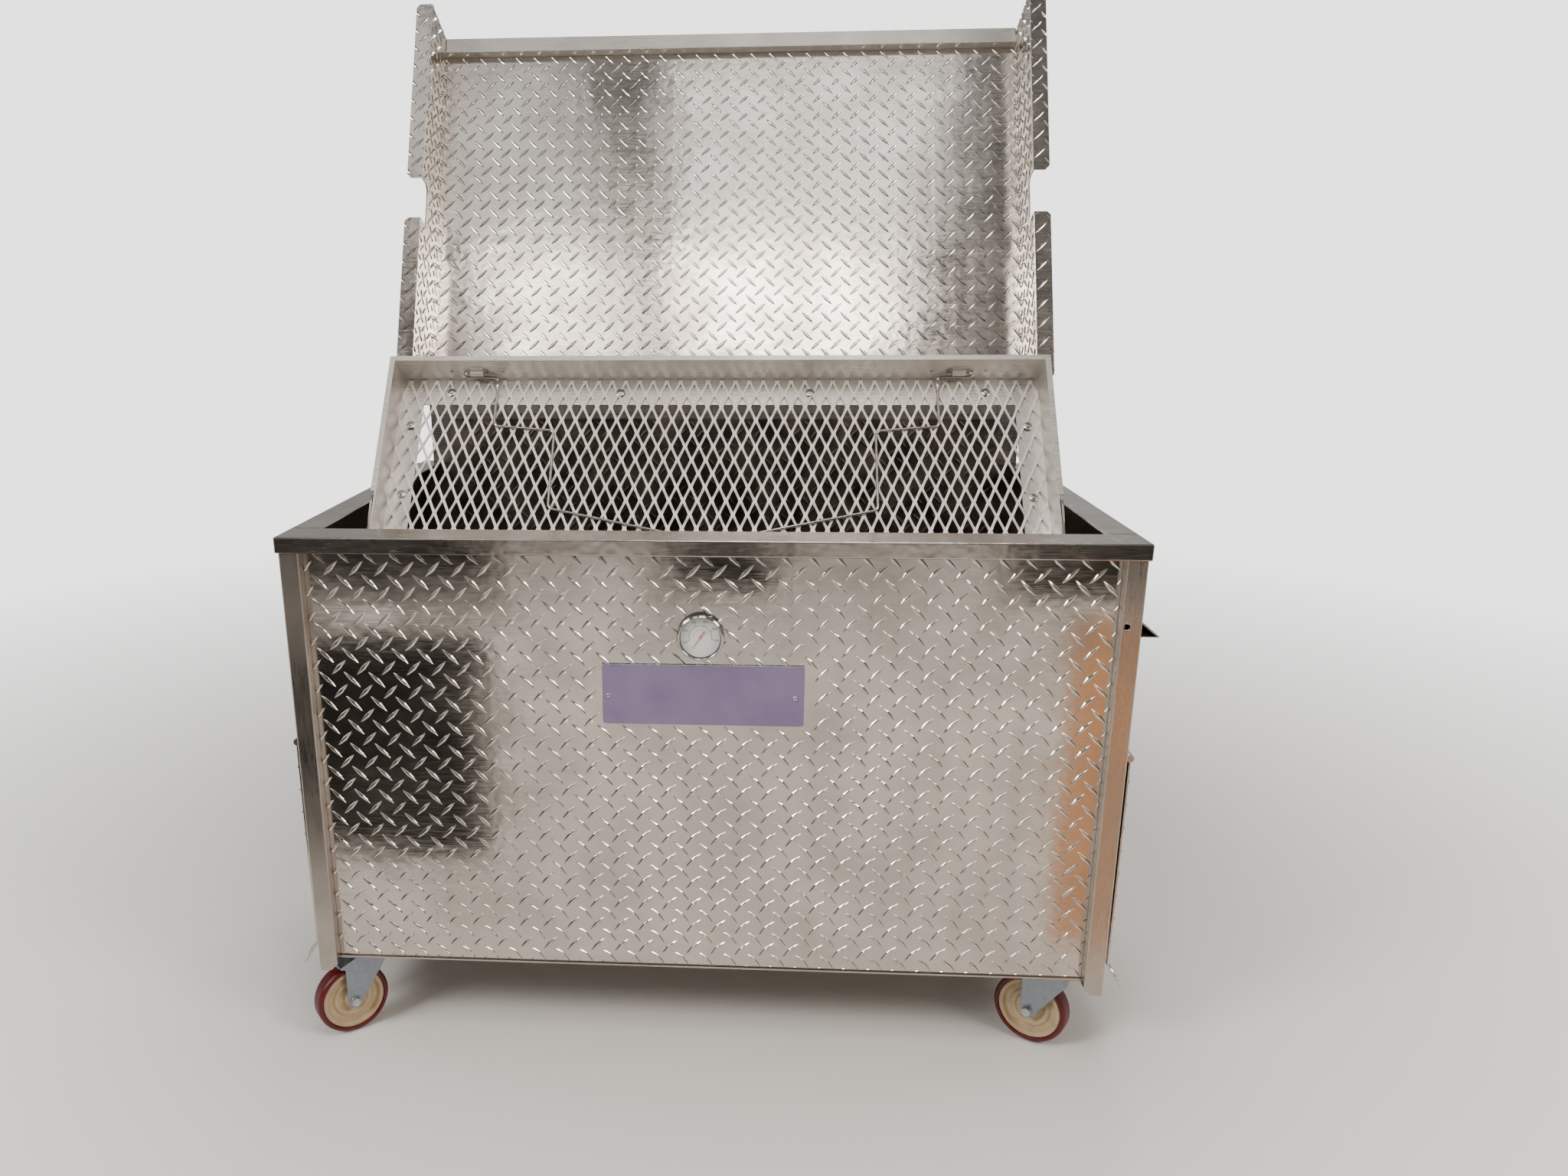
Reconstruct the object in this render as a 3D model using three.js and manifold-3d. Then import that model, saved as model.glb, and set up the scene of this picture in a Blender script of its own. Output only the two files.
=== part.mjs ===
// Pig roasting box: an aluminium tread plate box on four swivel casters, with a hinged lid, a tilting grill tray
// with an expanded metal floor and a wire bail, charcoal doors in both ends and a dial thermometer.
// Millimetres. X runs across the box from its middle, Y back from the front panel, Z up from the ground.
import * as THREE from 'three';
import { mergeGeometries, mergeVertices } from 'three/addons/utils/BufferGeometryUtils.js';
import Module from 'manifold-3d';

const wasm = await Module();
wasm.setup();

// Clearances and stock
const fit = 0.3;
const restGap = 0.5;
const overrun = 2;
const sheet = 3;
const panSheet = 2.5;
const linerSheet = 2;
const full = 2 * Math.PI;
const quarter = Math.PI / 2;
const weld = 1e-4;
const curveSteps = 8;
const hexFacets = 6;
const degrees = THREE.MathUtils.degToRad;

// Box
const box = {
  halfBetweenPosts: 625,
  depth: 800,
  rimHeight: 900,
  panelLift: 6.7,
  endRecess: 3,
  riserLap: 3,
  floorFlange: 22,
};

// Corner posts: rectangular tube
const post = {
  width: 31, depth: 20, wall: 2.5, drop: 15, cornerCut: 12, holeRadius: 4.5, holeDown: 126.6, holeInset: 8.7,
};

// Rims: folded tread plate angles
const rim = { band: 25, flange: 76, endFlange: 50, overhang: 25, endOverhang: 4 };

// Casters: 5 inch wheels in pressed forks
const caster = {
  height: 159, wheelRadius: 63.5, wheelWidth: 32, treadFlat: 22, treadDepth: 9, treadShoulder: 4,
  trail: 35, stemInset: 27.5, stemBack: 52, plateWidth: 77, plateDepth: 100, plate: 3, plateCorner: 8,
  race: 5, raceRadius: 27, crown: 4.5, crownRadius: 30, fork: 3, forkTopHalf: 30, forkEye: 13, forkFront: 10,
  apronReach: 22, apronFall: 12, tabHalf: 8, tabDrop: 5,
  axleRadius: 6, headRadius: 9, head: 6, boltRadius: 6, bolt: 4, boltInset: 12, facets: 24, eyeArc: degrees(153),
};
const frontHeadings = [degrees(38), degrees(-33)];
const rearHeadings = [degrees(24), degrees(-12)];
const hub = {
  boss: 15, bossHalf: 18.6, ringRadius: 30, ringHalf: 10, ringWidth: 6, web: 5, rimWidth: 7, rimHalf: 14,
};

// Lid
const lid = {
  length: 850, endInset: 19, depth: 124.4, rimGap: 3.1, lip: 31, rearGap: 6, openAngle: degrees(114.5), lipCorner: 8,
  notchStart: 360, notchWidth: 90, notchRise: 42, notchChamfer: 9,
  railWidth: 46, railLeg: 21, railEndGap: 3,
};

// Hinges: a rolled knuckle on a leaf, turning on a wire pin
const lidHinge = { knuckle: 4, pin: 1.9, leaf: 2, leafWidth: 26, endInset: 15, count: 9, facets: 12 };
const doorHinge = { knuckle: 6, pin: 2.6, leaf: 2, leafWidth: 18, count: 5, facets: 12 };

// Liner and rail inside the back panel
const liner = { standOff: 12, topDrop: 30, upperInset: 45 };
const backRail = { height: 20, thickness: 5 };

// Grill tray, in its own lowered frame: u runs back from its front wall, h up from its underside
const tray = {
  sideGap: 62, length: 676, wall: 66, sideLedge: 46, rearLedge: 56, frontLedge: 46, lip: 7, lipStart: 404,
  pivotU: 12, pivotH: 18, pivotY: 54.4, pivotDrop: 312.7, raised: degrees(52),
};
const net = {
  shortWay: 52.8, longWay: 112, strand: 8, insetShare: 0.6, smallest: 120, thickness: 3, sideGap: 2.5, endGap: 3,
};
const strap = {
  thickness: 4, standOff: 2.5, upperU: 388, upperH: 49, radius: 15, boss: 8, bossU: [90, 380], bossH: [22, 49],
};
const pivotPin = { radius: 6, collar: 11, flange: 22, flangeThickness: 4, facets: 12 };
const restBracket = { reach: 76, width: 40, drop: 38, fromRear: 20, thickness: 3 };

// Wire bail that lies on the grill
const bail = { wire: 2.5, sides: 6, bendSteps: 3, bend: 9, bendShare: 0.45, eyeHeight: 31, eyeInset: 4.5 };
const bailArm = {
  hookEndIn: 170, hookOutIn: 123, hookDrop: 12, wallRun: 14, outerIn: 184, middleIn: 297, outerRun: 98,
  acrossOuter: 10, middleRun: 150, acrossInner: 64,
};
const bailEye = { outerIn: 136, width: 24, wall: 2.5, foot: 8, facets: 12 };

// Charcoal doors in the ends
const door = {
  openingFront: 130, openingWidth: 540, sillRise: 30.7, lintelDrop: 28, frontEdge: 15,
  hingeDrop: 352, hingeOut: 18.5, bendRise: 20.7, flareOut: 26, flareDrop: 45, railWidth: 12, railHeight: 26,
  railWall: 2, knuckleGap: 0.6,
};

// Rail on the right end
const grab = { drop: 118, reach: 40, height: 34, sheet: 2, underside: 30, endInset: 12 };

// Front fittings
const thermometer = {
  x: -4.5, drop: 156, radius: 37.2, depth: 15, bezel: 3.2, bezelLip: 2.4, cup: 2, dialSheet: 1, glass: 2,
  glassGap: 4, stem: 4, stemLength: 62, nut: 10, nutDepth: 6, hub: 2.2, pointerTip: 22, pointerTail: 12,
  pointerWidth: 1.6, pointerTailWidth: 3.4, pointerSheet: 0.8, pointerFloat: 0.8, facets: 24,
};
const pointerRest = degrees(214);
const nameplate = {
  width: 318, height: 98, x: -1, drop: 253, sheet: 1.5, corner: 3,
};

// Levels and faces worked out from the sizes above
const floorUnder = caster.height + fit;
const floorTop = floorUnder + sheet;
const rimUnder = box.rimHeight - sheet;
const endOuter = box.halfBetweenPosts + post.width - box.endRecess;
const endInner = endOuter - sheet;
const panelHalf = endInner - fit;
const postOuter = box.halfBetweenPosts + post.width;
const riserHalf = box.halfBetweenPosts + box.riserLap;
const rimHalf = postOuter + rim.endOverhang;
const lidHalf = postOuter - lid.endInset;
const lidHingeHalf = lidHalf - lidHinge.endInset;
const linerHalf = riserHalf - liner.upperInset;
const trayHalf = endInner - tray.sideGap;
const lidHingeY = box.depth + fit + lidHinge.leaf / 2;
const lidTop = box.rimHeight + lid.rimGap + lid.depth;
const lidHingeZ = lidTop + fit + lidHinge.leaf / 2;
const backTop = lidHingeZ - lidHinge.knuckle - restGap;
const doorHingeX = endOuter + door.hingeOut;
const doorHingeZ = box.rimHeight - door.hingeDrop;
const trayPivotZ = box.rimHeight - tray.pivotDrop;
const doorBendZ = floorUnder + door.bendRise;

const paint = {
  treadPlate: [0xb4b2ae, 0.3, 1], smooth: [0xa9a6a1, 0.38, 1], zinc: [0x9aa3ad, 0.4, 1], steel: [0x8d8a86, 0.35, 1],
  bright: [0xc9c7c4, 0.18, 1], dial: [0xe8e8e4, 0.5, 0], glass: [0xdfe6e6, 0.05, 0], needle: [0xa3262b, 0.5, 0],
  plate: [0x7b6f8c, 0.35, 0.2], tread: [0x7d1420, 0.5, 0], cream: [0xd8cbb0, 0.45, 0], shade: [0x4a4744, 0.5, 1],
};

// Solids
function clean(geometry) {
  const bare = geometry.index ? geometry.clone() : geometry;
  bare.deleteAttribute('normal');
  bare.deleteAttribute('uv');
  return mergeVertices(bare, weld);
}

function toManifold(geometry) {
  const merged = clean(geometry);
  return new wasm.Manifold(new wasm.Mesh({
    numProp: 3,
    vertProperties: new Float32Array(merged.attributes.position.array),
    triVerts: new Uint32Array(merged.index.array),
  }));
}

function toGeometry(solid) {
  const mesh = solid.getMesh();
  const geometry = new THREE.BufferGeometry();
  geometry.setAttribute('position', new THREE.BufferAttribute(new Float32Array(mesh.vertProperties), 3));
  geometry.setIndex(new THREE.BufferAttribute(new Uint32Array(mesh.triVerts), 1));
  return geometry;
}

function join(...geometries) {
  return toGeometry(geometries.map(toManifold).reduce((sum, part) => sum.add(part)));
}

function cut(geometry, ...tools) {
  return toGeometry(tools.map(toManifold).reduce((rest, tool) => rest.subtract(tool), toManifold(geometry)));
}

function block([x0, x1], [y0, y1], [z0, z1]) {
  const geometry = new THREE.BoxGeometry(x1 - x0, y1 - y0, z1 - z0);
  return geometry.translate((x0 + x1) / 2, (y0 + y1) / 2, (z0 + z1) / 2);
}

function polygon(points) {
  return new THREE.Shape(points.map(([a, b]) => new THREE.Vector2(a, b)));
}

function circle(radius, facets, [a, b] = [0, 0], turn = 0) {
  const points = [];
  for (let i = 0; i < facets; i += 1) {
    const angle = turn + (i * full) / facets;
    points.push([a + radius * Math.cos(angle), b + radius * Math.sin(angle)]);
  }
  return polygon(points);
}

function prism(shape, depth) {
  return new THREE.ExtrudeGeometry(shape, { depth, bevelEnabled: false });
}

// Outline in Y and Z, drawn out along X
function alongX(shape, x0, x1) {
  const turn = new THREE.Matrix4().makeBasis(
    new THREE.Vector3(0, 1, 0), new THREE.Vector3(0, 0, 1), new THREE.Vector3(1, 0, 0));
  return prism(shape, x1 - x0).applyMatrix4(turn).translate(x0, 0, 0);
}

// Outline in X and Z, drawn out along Y
function alongY(shape, y0, y1) {
  const turn = new THREE.Matrix4().makeBasis(
    new THREE.Vector3(1, 0, 0), new THREE.Vector3(0, 0, 1), new THREE.Vector3(0, -1, 0));
  return prism(shape, y1 - y0).applyMatrix4(turn).translate(0, y1, 0);
}

function alongZ(shape, z0, z1) {
  return prism(shape, z1 - z0).translate(0, 0, z0);
}

// Turned piece: a closed profile of [radius, height] points about Z, with the first point on the axis or a bore
function turned(profile, facets, turn = 0) {
  const closed = profile[0][0] === 0 ? profile : [...profile, profile[0]];
  const points = closed.map(([radius, height]) => new THREE.Vector2(radius, height));
  return new THREE.LatheGeometry(points, facets, turn).rotateX(quarter);
}

function rod(radius, x0, x1, facets, [y, z] = [0, 0], turn = 0) {
  return alongX(circle(radius, facets, [y, z], turn), x0, x1);
}

function mesh(name, geometry, [color, roughness, metalness]) {
  const material = new THREE.MeshStandardMaterial({ color, roughness, metalness });
  const result = new THREE.Mesh(clean(geometry), material);
  result.name = name;
  return result;
}

function group(position, rotation, ...children) {
  const result = new THREE.Group();
  result.position.set(...position);
  result.rotation.set(...rotation);
  result.add(...children);
  return result;
}

const mirrored = (side, a, b) => (side > 0 ? [a, b] : [-b, -a]);

// Panels of the box
function frontPanel() {
  const plate = block([-panelHalf, panelHalf], [0, sheet], [floorUnder + box.panelLift, rimUnder - fit]);
  const stemHole = circle(thermometer.stem + fit, thermometer.facets, [thermometer.x, thermometerZ()]);
  return mesh('front_panel', cut(plate, alongY(stemHole, -overrun, sheet + overrun)), paint.treadPlate);
}

function backPanel() {
  const shape = polygon([
    [-panelHalf, floorTop + fit], [panelHalf, floorTop + fit], [panelHalf, rimUnder], [riserHalf, rimUnder],
    [riserHalf, backTop], [-riserHalf, backTop], [-riserHalf, rimUnder], [-panelHalf, rimUnder],
  ]);
  return mesh('back_panel', alongY(shape, box.depth - sheet, box.depth), paint.treadPlate);
}

function floorPanel() {
  const plate = block([-panelHalf, panelHalf], [0, box.depth], [floorUnder, floorTop]);
  const flangeTop = floorTop + box.floorFlange;
  const front = block([-panelHalf, panelHalf], [sheet + fit, 2 * sheet + fit], [floorUnder, flangeTop]);
  const backFace = box.depth - sheet - fit;
  const back = block([-panelHalf, panelHalf], [backFace - sheet, backFace], [floorUnder, flangeTop]);
  return mesh('floor_panel', join(plate, front, back), paint.smooth);
}

function endPanel(side, name) {
  const doorway = [
    [door.openingFront, floorUnder + door.sillRise],
    [door.openingFront + door.openingWidth, doorHingeZ - door.lintelDrop],
  ];
  const top = rimUnder - fit;
  const outline = polygon([[0, floorUnder], [box.depth, floorUnder], [box.depth, top], [0, top]]);
  outline.holes.push(polygon([
    doorway[0], [doorway[1][0], doorway[0][1]], doorway[1], [doorway[0][0], doorway[1][1]],
  ]));
  const wall = alongX(outline, ...mirrored(side, endInner, endOuter));
  return mesh(name, join(wall, trayRest(side)), paint.treadPlate);
}

function backLiner() {
  const face = box.depth - sheet - fit;
  const front = face - liner.standOff;
  const top = backTop - liner.topDrop;
  const lowerHalf = panelHalf - fit;
  const bottom = floorTop + fit;
  const flangeFront = face - sheet - fit;
  const lower = block([-lowerHalf, lowerHalf], [front, front + linerSheet], [bottom, rimUnder - fit]);
  const upper = block([-linerHalf, linerHalf], [front, front + linerSheet], [bottom, top]);
  const lip = block([-linerHalf, linerHalf], [front, face], [top - linerSheet, top]);
  const foot = block([-lowerHalf, lowerHalf], [front, flangeFront], [bottom, bottom + linerSheet]);
  return mesh('back_liner', join(lower, upper, lip, foot), paint.shade);
}

function backTopRail() {
  const face = box.depth - sheet - fit;
  const bar = block(
    [-riserHalf, riserHalf], [face - backRail.thickness, face], [backTop - backRail.height, backTop]);
  return mesh('back_top_rail', bar, paint.smooth);
}

// Posts stand in front of the front panel and behind the back panel
function cornerPost(side, front) {
  const inner = box.halfBetweenPosts;
  const bottom = floorUnder - post.drop;
  const top = (front ? rimUnder : box.rimHeight) - fit;
  const outline = polygon([
    [side * (inner + post.cornerCut), bottom], [side * postOuter, bottom], [side * postOuter, top],
    [side * inner, top], [side * inner, bottom + post.cornerCut],
  ]);
  const [y0, y1] = front ? [-fit - post.depth, -fit] : [box.depth + fit, box.depth + fit + post.depth];
  const hollow = block(
    mirrored(side, inner + post.wall, postOuter - post.wall), [y0 + post.wall, y1 - post.wall],
    [bottom - overrun, top - post.wall]);
  const tools = [hollow];
  if (front && side > 0) {
    const centre = [inner + post.holeInset, box.rimHeight - post.holeDown];
    const hole = circle(post.holeRadius, pivotPin.facets, centre);
    tools.push(alongY(hole, y0 - overrun, y0 + post.depth / 2));
  }
  return cut(alongY(outline, y0, y1), ...tools);
}

// Rims
function frontRim() {
  const y0 = -rim.overhang;
  const profile = polygon([
    [y0, box.rimHeight - rim.band], [y0 + sheet, box.rimHeight - rim.band], [y0 + sheet, rimUnder],
    [y0 + rim.flange, rimUnder], [y0 + rim.flange, box.rimHeight], [y0, box.rimHeight],
  ]);
  return mesh('front_rim', alongX(profile, -rimHalf, rimHalf), paint.treadPlate);
}

function endRim(side, name) {
  const y0 = rim.flange - rim.overhang + fit;
  const y1 = box.depth - sheet - liner.standOff - 2 * fit;
  const profile = polygon([
    [side * rimHalf, box.rimHeight - rim.band], [side * rimHalf, box.rimHeight],
    [side * (rimHalf - rim.endFlange), box.rimHeight], [side * (rimHalf - rim.endFlange), rimUnder],
    [side * (rimHalf - sheet), rimUnder], [side * (rimHalf - sheet), box.rimHeight - rim.band],
  ]);
  return mesh(name, alongY(profile, y0, y1), paint.treadPlate);
}

function grabRail() {
  const x0 = endOuter + fit;
  const tip = x0 + grab.reach;
  const top = box.rimHeight - grab.drop;
  const bottom = top - grab.height;
  const profile = polygon([
    [x0, bottom], [x0 + grab.sheet, bottom], [x0 + grab.sheet, top - 2 * grab.sheet],
    [tip - 2 * grab.sheet, bottom + grab.sheet], [tip - grab.underside, bottom + grab.sheet],
    [tip - grab.underside, bottom], [tip, bottom], [tip, bottom + grab.sheet], [x0 + grab.sheet, top], [x0, top],
  ]);
  return mesh('end_grab_rail', alongY(profile, grab.endInset, box.depth - grab.endInset), paint.smooth);
}

// Hinges: knuckles take turns along the pin, even ones on the fixed leaf
function knuckleSpans(hinge, start, end) {
  const pitch = (end - start) / hinge.count;
  return Array.from({ length: hinge.count }, (_, i) => [start + i * pitch + fit, start + (i + 1) * pitch - fit]);
}

function knuckle(hinge, [x0, x1], centre) {
  const ring = circle(hinge.knuckle, hinge.facets, centre);
  ring.holes.push(circle(hinge.pin + fit, hinge.facets, centre));
  return alongX(ring, x0, x1);
}

function lidHingeParts() {
  const spans = knuckleSpans(lidHinge, -lidHingeHalf, lidHingeHalf);
  const fixed = spans.filter((_, i) => i % 2 === 0);
  const moving = spans.filter((_, i) => i % 2 === 1);
  const halfLeaf = lidHinge.leaf / 2;
  const bore = rod(lidHinge.pin + fit, -rimHalf, rimHalf, lidHinge.facets);
  const reach = lidHinge.knuckle + fit;
  const fixedLeaf = block(
    [-lidHingeHalf, lidHingeHalf], [-halfLeaf, halfLeaf], [-lidHinge.leafWidth, -reach]);
  const movingLeaf = block(
    [-lidHingeHalf, lidHingeHalf], [-lidHinge.leafWidth, -reach], [-halfLeaf, halfLeaf]);
  const fixedNecks = fixed.map((s) => block(s, [-halfLeaf, halfLeaf], [-reach - halfLeaf, 0]));
  const movingNecks = moving.map((s) => block(s, [-reach - halfLeaf, 0], [-halfLeaf, halfLeaf]));
  const centre = [0, 0];
  const fixedPart = cut(join(fixedLeaf, ...fixedNecks, ...fixed.map((s) => knuckle(lidHinge, s, centre))), bore);
  const movingPart = cut(join(movingLeaf, ...movingNecks, ...moving.map((s) => knuckle(lidHinge, s, centre))), bore);
  const pin = rod(lidHinge.pin, -lidHingeHalf - lidHinge.pin, lidHingeHalf + lidHinge.pin, lidHinge.facets);
  return [
    mesh('lid_hinge_body_leaf', fixedPart, paint.steel),
    mesh('lid_hinge_pin', pin, paint.steel),
    mesh('lid_hinge_lid_leaf', movingPart, paint.steel),
  ];
}

// Lid, drawn closed: v runs forward from the hinge pin, and heights are from the pin
const lidFaceTop = lidTop - lidHingeZ;
const lidFaceUnder = lidFaceTop - sheet;
const lidLipUnder = lidFaceTop - lid.depth;

function lidPlate() {
  return mesh('lid_plate', block([-lidHalf, lidHalf], [-lid.length, -lid.rearGap], [lidFaceUnder, lidFaceTop]),
    paint.treadPlate);
}

function lidWall(side, name) {
  const top = lidFaceUnder - fit;
  const notchEnd = lid.notchStart + lid.notchWidth;
  const notchTop = lidLipUnder + lid.notchRise;
  const chamfer = lid.notchChamfer;
  const wall = polygon([
    [-lid.length, lidLipUnder], [-notchEnd, lidLipUnder], [-notchEnd, notchTop - chamfer],
    [-notchEnd + chamfer, notchTop], [-lid.notchStart - chamfer, notchTop], [-lid.notchStart, notchTop - chamfer],
    [-lid.notchStart, lidLipUnder], [-lid.rearGap, lidLipUnder], [-lid.rearGap, top], [-lid.length, top],
  ]);
  const lipOuter = lidHalf + lid.lip;
  const corner = lid.lipCorner;
  const lips = [[lid.rearGap, lid.notchStart], [notchEnd, lid.length]].map(([near, far]) => polygon([
    [side * (lidHalf - sheet), -near], [side * (lidHalf - sheet), -far], [side * (lipOuter - corner), -far],
    [side * lipOuter, -far + corner], [side * lipOuter, -near - corner], [side * (lipOuter - corner), -near],
  ]));
  const face = alongX(wall, ...mirrored(side, lidHalf - sheet, lidHalf));
  const flat = lips.map((lip) => alongZ(lip, lidLipUnder, lidLipUnder + sheet));
  return mesh(name, join(face, ...flat), paint.treadPlate);
}

function lidFrontRail() {
  const half = lidHalf - sheet - fit;
  const top = lidFaceUnder - fit;
  const inner = -lid.length + lid.railWidth;
  const profile = polygon([
    [-lid.length, top], [-lid.length, top - panSheet], [inner - panSheet, top - panSheet],
    [inner - panSheet, top - lid.railLeg], [inner, top - lid.railLeg], [inner, top],
  ]);
  return mesh('lid_front_rail', alongX(profile, -half, half - lid.railEndGap), paint.smooth);
}

// Tray pan, drawn lowered with its front wall at u = 0
function trayPan() {
  const { length, wall } = tray;
  const half = trayHalf;
  const outer = block([-half, half], [0, length], [0, wall]);
  const inside = block(
    [-half + panSheet, half - panSheet], [panSheet, length - panSheet], [panSheet, wall + overrun]);
  const opening = block(
    [-half + tray.sideLedge, half - tray.sideLedge], [tray.frontLedge, length - tray.rearLedge],
    [-overrun, panSheet + overrun]);
  const lipBand = [wall - panSheet, wall];
  const lips = [
    block([-half - tray.lip, -half + panSheet], [tray.lipStart, length + tray.lip], lipBand),
    block([half - panSheet, half + tray.lip], [tray.lipStart, length + tray.lip], lipBand),
    block([-half - tray.lip, half + tray.lip], [length - panSheet, length + tray.lip], lipBand),
  ];
  return mesh('tray_pan', join(cut(outer, inside, opening), ...lips, ...bailEyes()), paint.smooth);
}

// Expanded metal: staggered diamonds cut from a flat sheet, those at the edge clipped
function clipTo(points, axis, limit, keepBelow) {
  const inside = (p) => (keepBelow ? p[axis] < limit : p[axis] > limit);
  return points.flatMap((p, i) => {
    const q = points[(i + 1) % points.length];
    const crossing = (limit - p[axis]) / (q[axis] - p[axis]);
    const meet = [p[0] + (q[0] - p[0]) * crossing, p[1] + (q[1] - p[1]) * crossing];
    if (inside(p) === inside(q)) return inside(p) ? [p] : [];
    return inside(p) ? [p, meet] : [meet];
  });
}

const netHalf = trayHalf - panSheet - net.sideGap;
const netSpan = [panSheet + net.endGap, tray.length - panSheet - net.endGap];
const netMiddle = (netSpan[0] + netSpan[1]) / 2;

function netHoles() {
  const columns = Math.ceil(netHalf / net.shortWay);
  const rows = Math.ceil((netSpan[1] - netSpan[0]) / net.longWay / 2);
  const holeHalfX = net.shortWay / 2 - net.strand * net.insetShare;
  const holeHalfU = holeHalfX * (net.longWay / net.shortWay);
  const edge = net.strand / 2;
  const holes = [];
  for (let i = -2 * columns; i <= 2 * columns; i += 1) {
    for (let j = -2 * rows; j <= 2 * rows; j += 1) {
      if ((i + j) % 2 !== 0) continue;
      const x = (i * net.shortWay) / 2;
      const u = netMiddle + (j * net.longWay) / 2;
      let hole = [[x - holeHalfX, u], [x, u - holeHalfU], [x + holeHalfX, u], [x, u + holeHalfU]];
      hole = clipTo(hole, 0, netHalf - edge, true);
      hole = hole.length ? clipTo(hole, 0, edge - netHalf, false) : hole;
      hole = hole.length ? clipTo(hole, 1, netSpan[1] - edge, true) : hole;
      hole = hole.length ? clipTo(hole, 1, netSpan[0] + edge, false) : hole;
      if (hole.length < 3) continue;
      const area = Math.abs(THREE.ShapeUtils.area(hole.map(([a, b]) => new THREE.Vector2(a, b))));
      if (area > net.smallest) holes.push(hole);
    }
  }
  return holes;
}

function trayNet() {
  const under = panSheet + fit;
  const top = under + net.thickness;
  const holes = netHoles();
  console.log(`tray net: ${holes.length} gaps`);
  const flat = block([-netHalf, netHalf], netSpan, [under, top]);
  const gaps = mergeGeometries(holes.map((hole) => clean(alongZ(polygon(hole), under - overrun, top + overrun))));
  return mesh('tray_mesh', cut(flat, gaps), paint.smooth);
}

function trayStrap(side) {
  const [x0, x1] = [trayHalf + strap.standOff, trayHalf + strap.standOff + strap.thickness];
  const lower = new THREE.Vector2(tray.pivotU, tray.pivotH);
  const upper = new THREE.Vector2(strap.upperU, strap.upperH);
  const lean = Math.atan2(upper.y - lower.y, upper.x - lower.x);
  const points = [];
  for (let i = 0; i <= curveSteps; i += 1) {
    const angle = lean + quarter + (i * Math.PI) / curveSteps;
    points.push([lower.x + strap.radius * Math.cos(angle), lower.y + strap.radius * Math.sin(angle)]);
  }
  for (let i = 0; i <= curveSteps; i += 1) {
    const angle = lean - quarter + (i * Math.PI) / curveSteps;
    points.push([upper.x + strap.radius * Math.cos(angle), upper.y + strap.radius * Math.sin(angle)]);
  }
  const outline = polygon(points);
  outline.holes.push(circle(pivotPin.radius + fit, pivotPin.facets, [lower.x, lower.y]));
  const bosses = strap.bossU.map((u, i) => rod(
    strap.boss, ...mirrored(side, trayHalf + fit, x0 + strap.thickness / 2), pivotPin.facets, [u, strap.bossH[i]]));
  return join(alongX(outline, ...mirrored(side, x0, x1)), ...bosses);
}

function trayPivot(side) {
  const inner = trayHalf + strap.standOff / 2;
  const collarStart = trayHalf + strap.standOff + strap.thickness + restGap;
  const wallFace = endInner - fit;
  const flangeStart = wallFace - pivotPin.flangeThickness;
  return turned([
    [0, inner], [pivotPin.radius, inner], [pivotPin.radius, collarStart], [pivotPin.collar, collarStart],
    [pivotPin.collar, flangeStart], [pivotPin.flange, flangeStart], [pivotPin.flange, wallFace], [0, wallFace],
  ], pivotPin.facets).rotateY(side * quarter).translate(0, tray.pivotY, trayPivotZ);
}

function trayRest(side) {
  const top = trayPivotZ - tray.pivotH - restGap;
  const y1 = tray.pivotY - tray.pivotU + tray.length - restBracket.fromRear;
  const wallFace = endInner + sheet / 2;
  const outline = polygon([
    [side * wallFace, top], [side * wallFace, top - restBracket.drop],
    [side * (endInner - restBracket.thickness), top - restBracket.drop],
    [side * (endInner - restBracket.thickness), top - restBracket.thickness],
    [side * (endInner - restBracket.reach), top - restBracket.thickness], [side * (endInner - restBracket.reach), top],
  ]);
  return alongY(outline, y1 - restBracket.width, y1);
}

// Bail: one bent wire, mirrored about the middle, from hook to hook
const bailLay = panSheet + net.thickness + 2 * fit + bail.wire;
const bailWallU = tray.length - panSheet - bail.eyeInset;

function bailPath() {
  const arm = bailArm;
  const [hookEnd, hookOut, outer, middle] = [arm.hookEndIn, arm.hookOutIn, arm.outerIn, arm.middleIn]
    .map((inset) => trayHalf - inset);
  const outerEnd = bailWallU - arm.outerRun;
  const middleStart = outerEnd - arm.acrossOuter - bail.bend;
  const middleEnd = middleStart - arm.middleRun;
  const half = [
    [hookEnd, bailWallU, bail.eyeHeight], [hookOut, bailWallU, bail.eyeHeight],
    [hookOut, bailWallU, bail.eyeHeight - arm.hookDrop], [outer, bailWallU, bail.eyeHeight - arm.hookDrop],
    [outer, bailWallU - arm.wallRun, bailLay], [outer, outerEnd, bailLay],
    [middle, outerEnd - arm.acrossOuter, bailLay], [middle, middleEnd, bailLay],
    [0, middleEnd - arm.acrossInner, bailLay],
  ].map((p) => new THREE.Vector3(...p));
  const other = half.slice(0, -1).reverse().map((p) => new THREE.Vector3(-p.x, p.y, p.z));
  const corners = [...half, ...other];
  const bends = corners.slice(1, -1).flatMap((corner, i) => {
    const [before, after] = [corners[i], corners[i + 2]].map((next) => {
      const reach = Math.min(bail.bend, corner.distanceTo(next) * bail.bendShare);
      return next.clone().sub(corner).setLength(reach).add(corner);
    });
    return new THREE.QuadraticBezierCurve3(before, corner, after).getPoints(bail.bendSteps);
  });
  return [corners[0], ...bends, corners.at(-1)];
}

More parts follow.
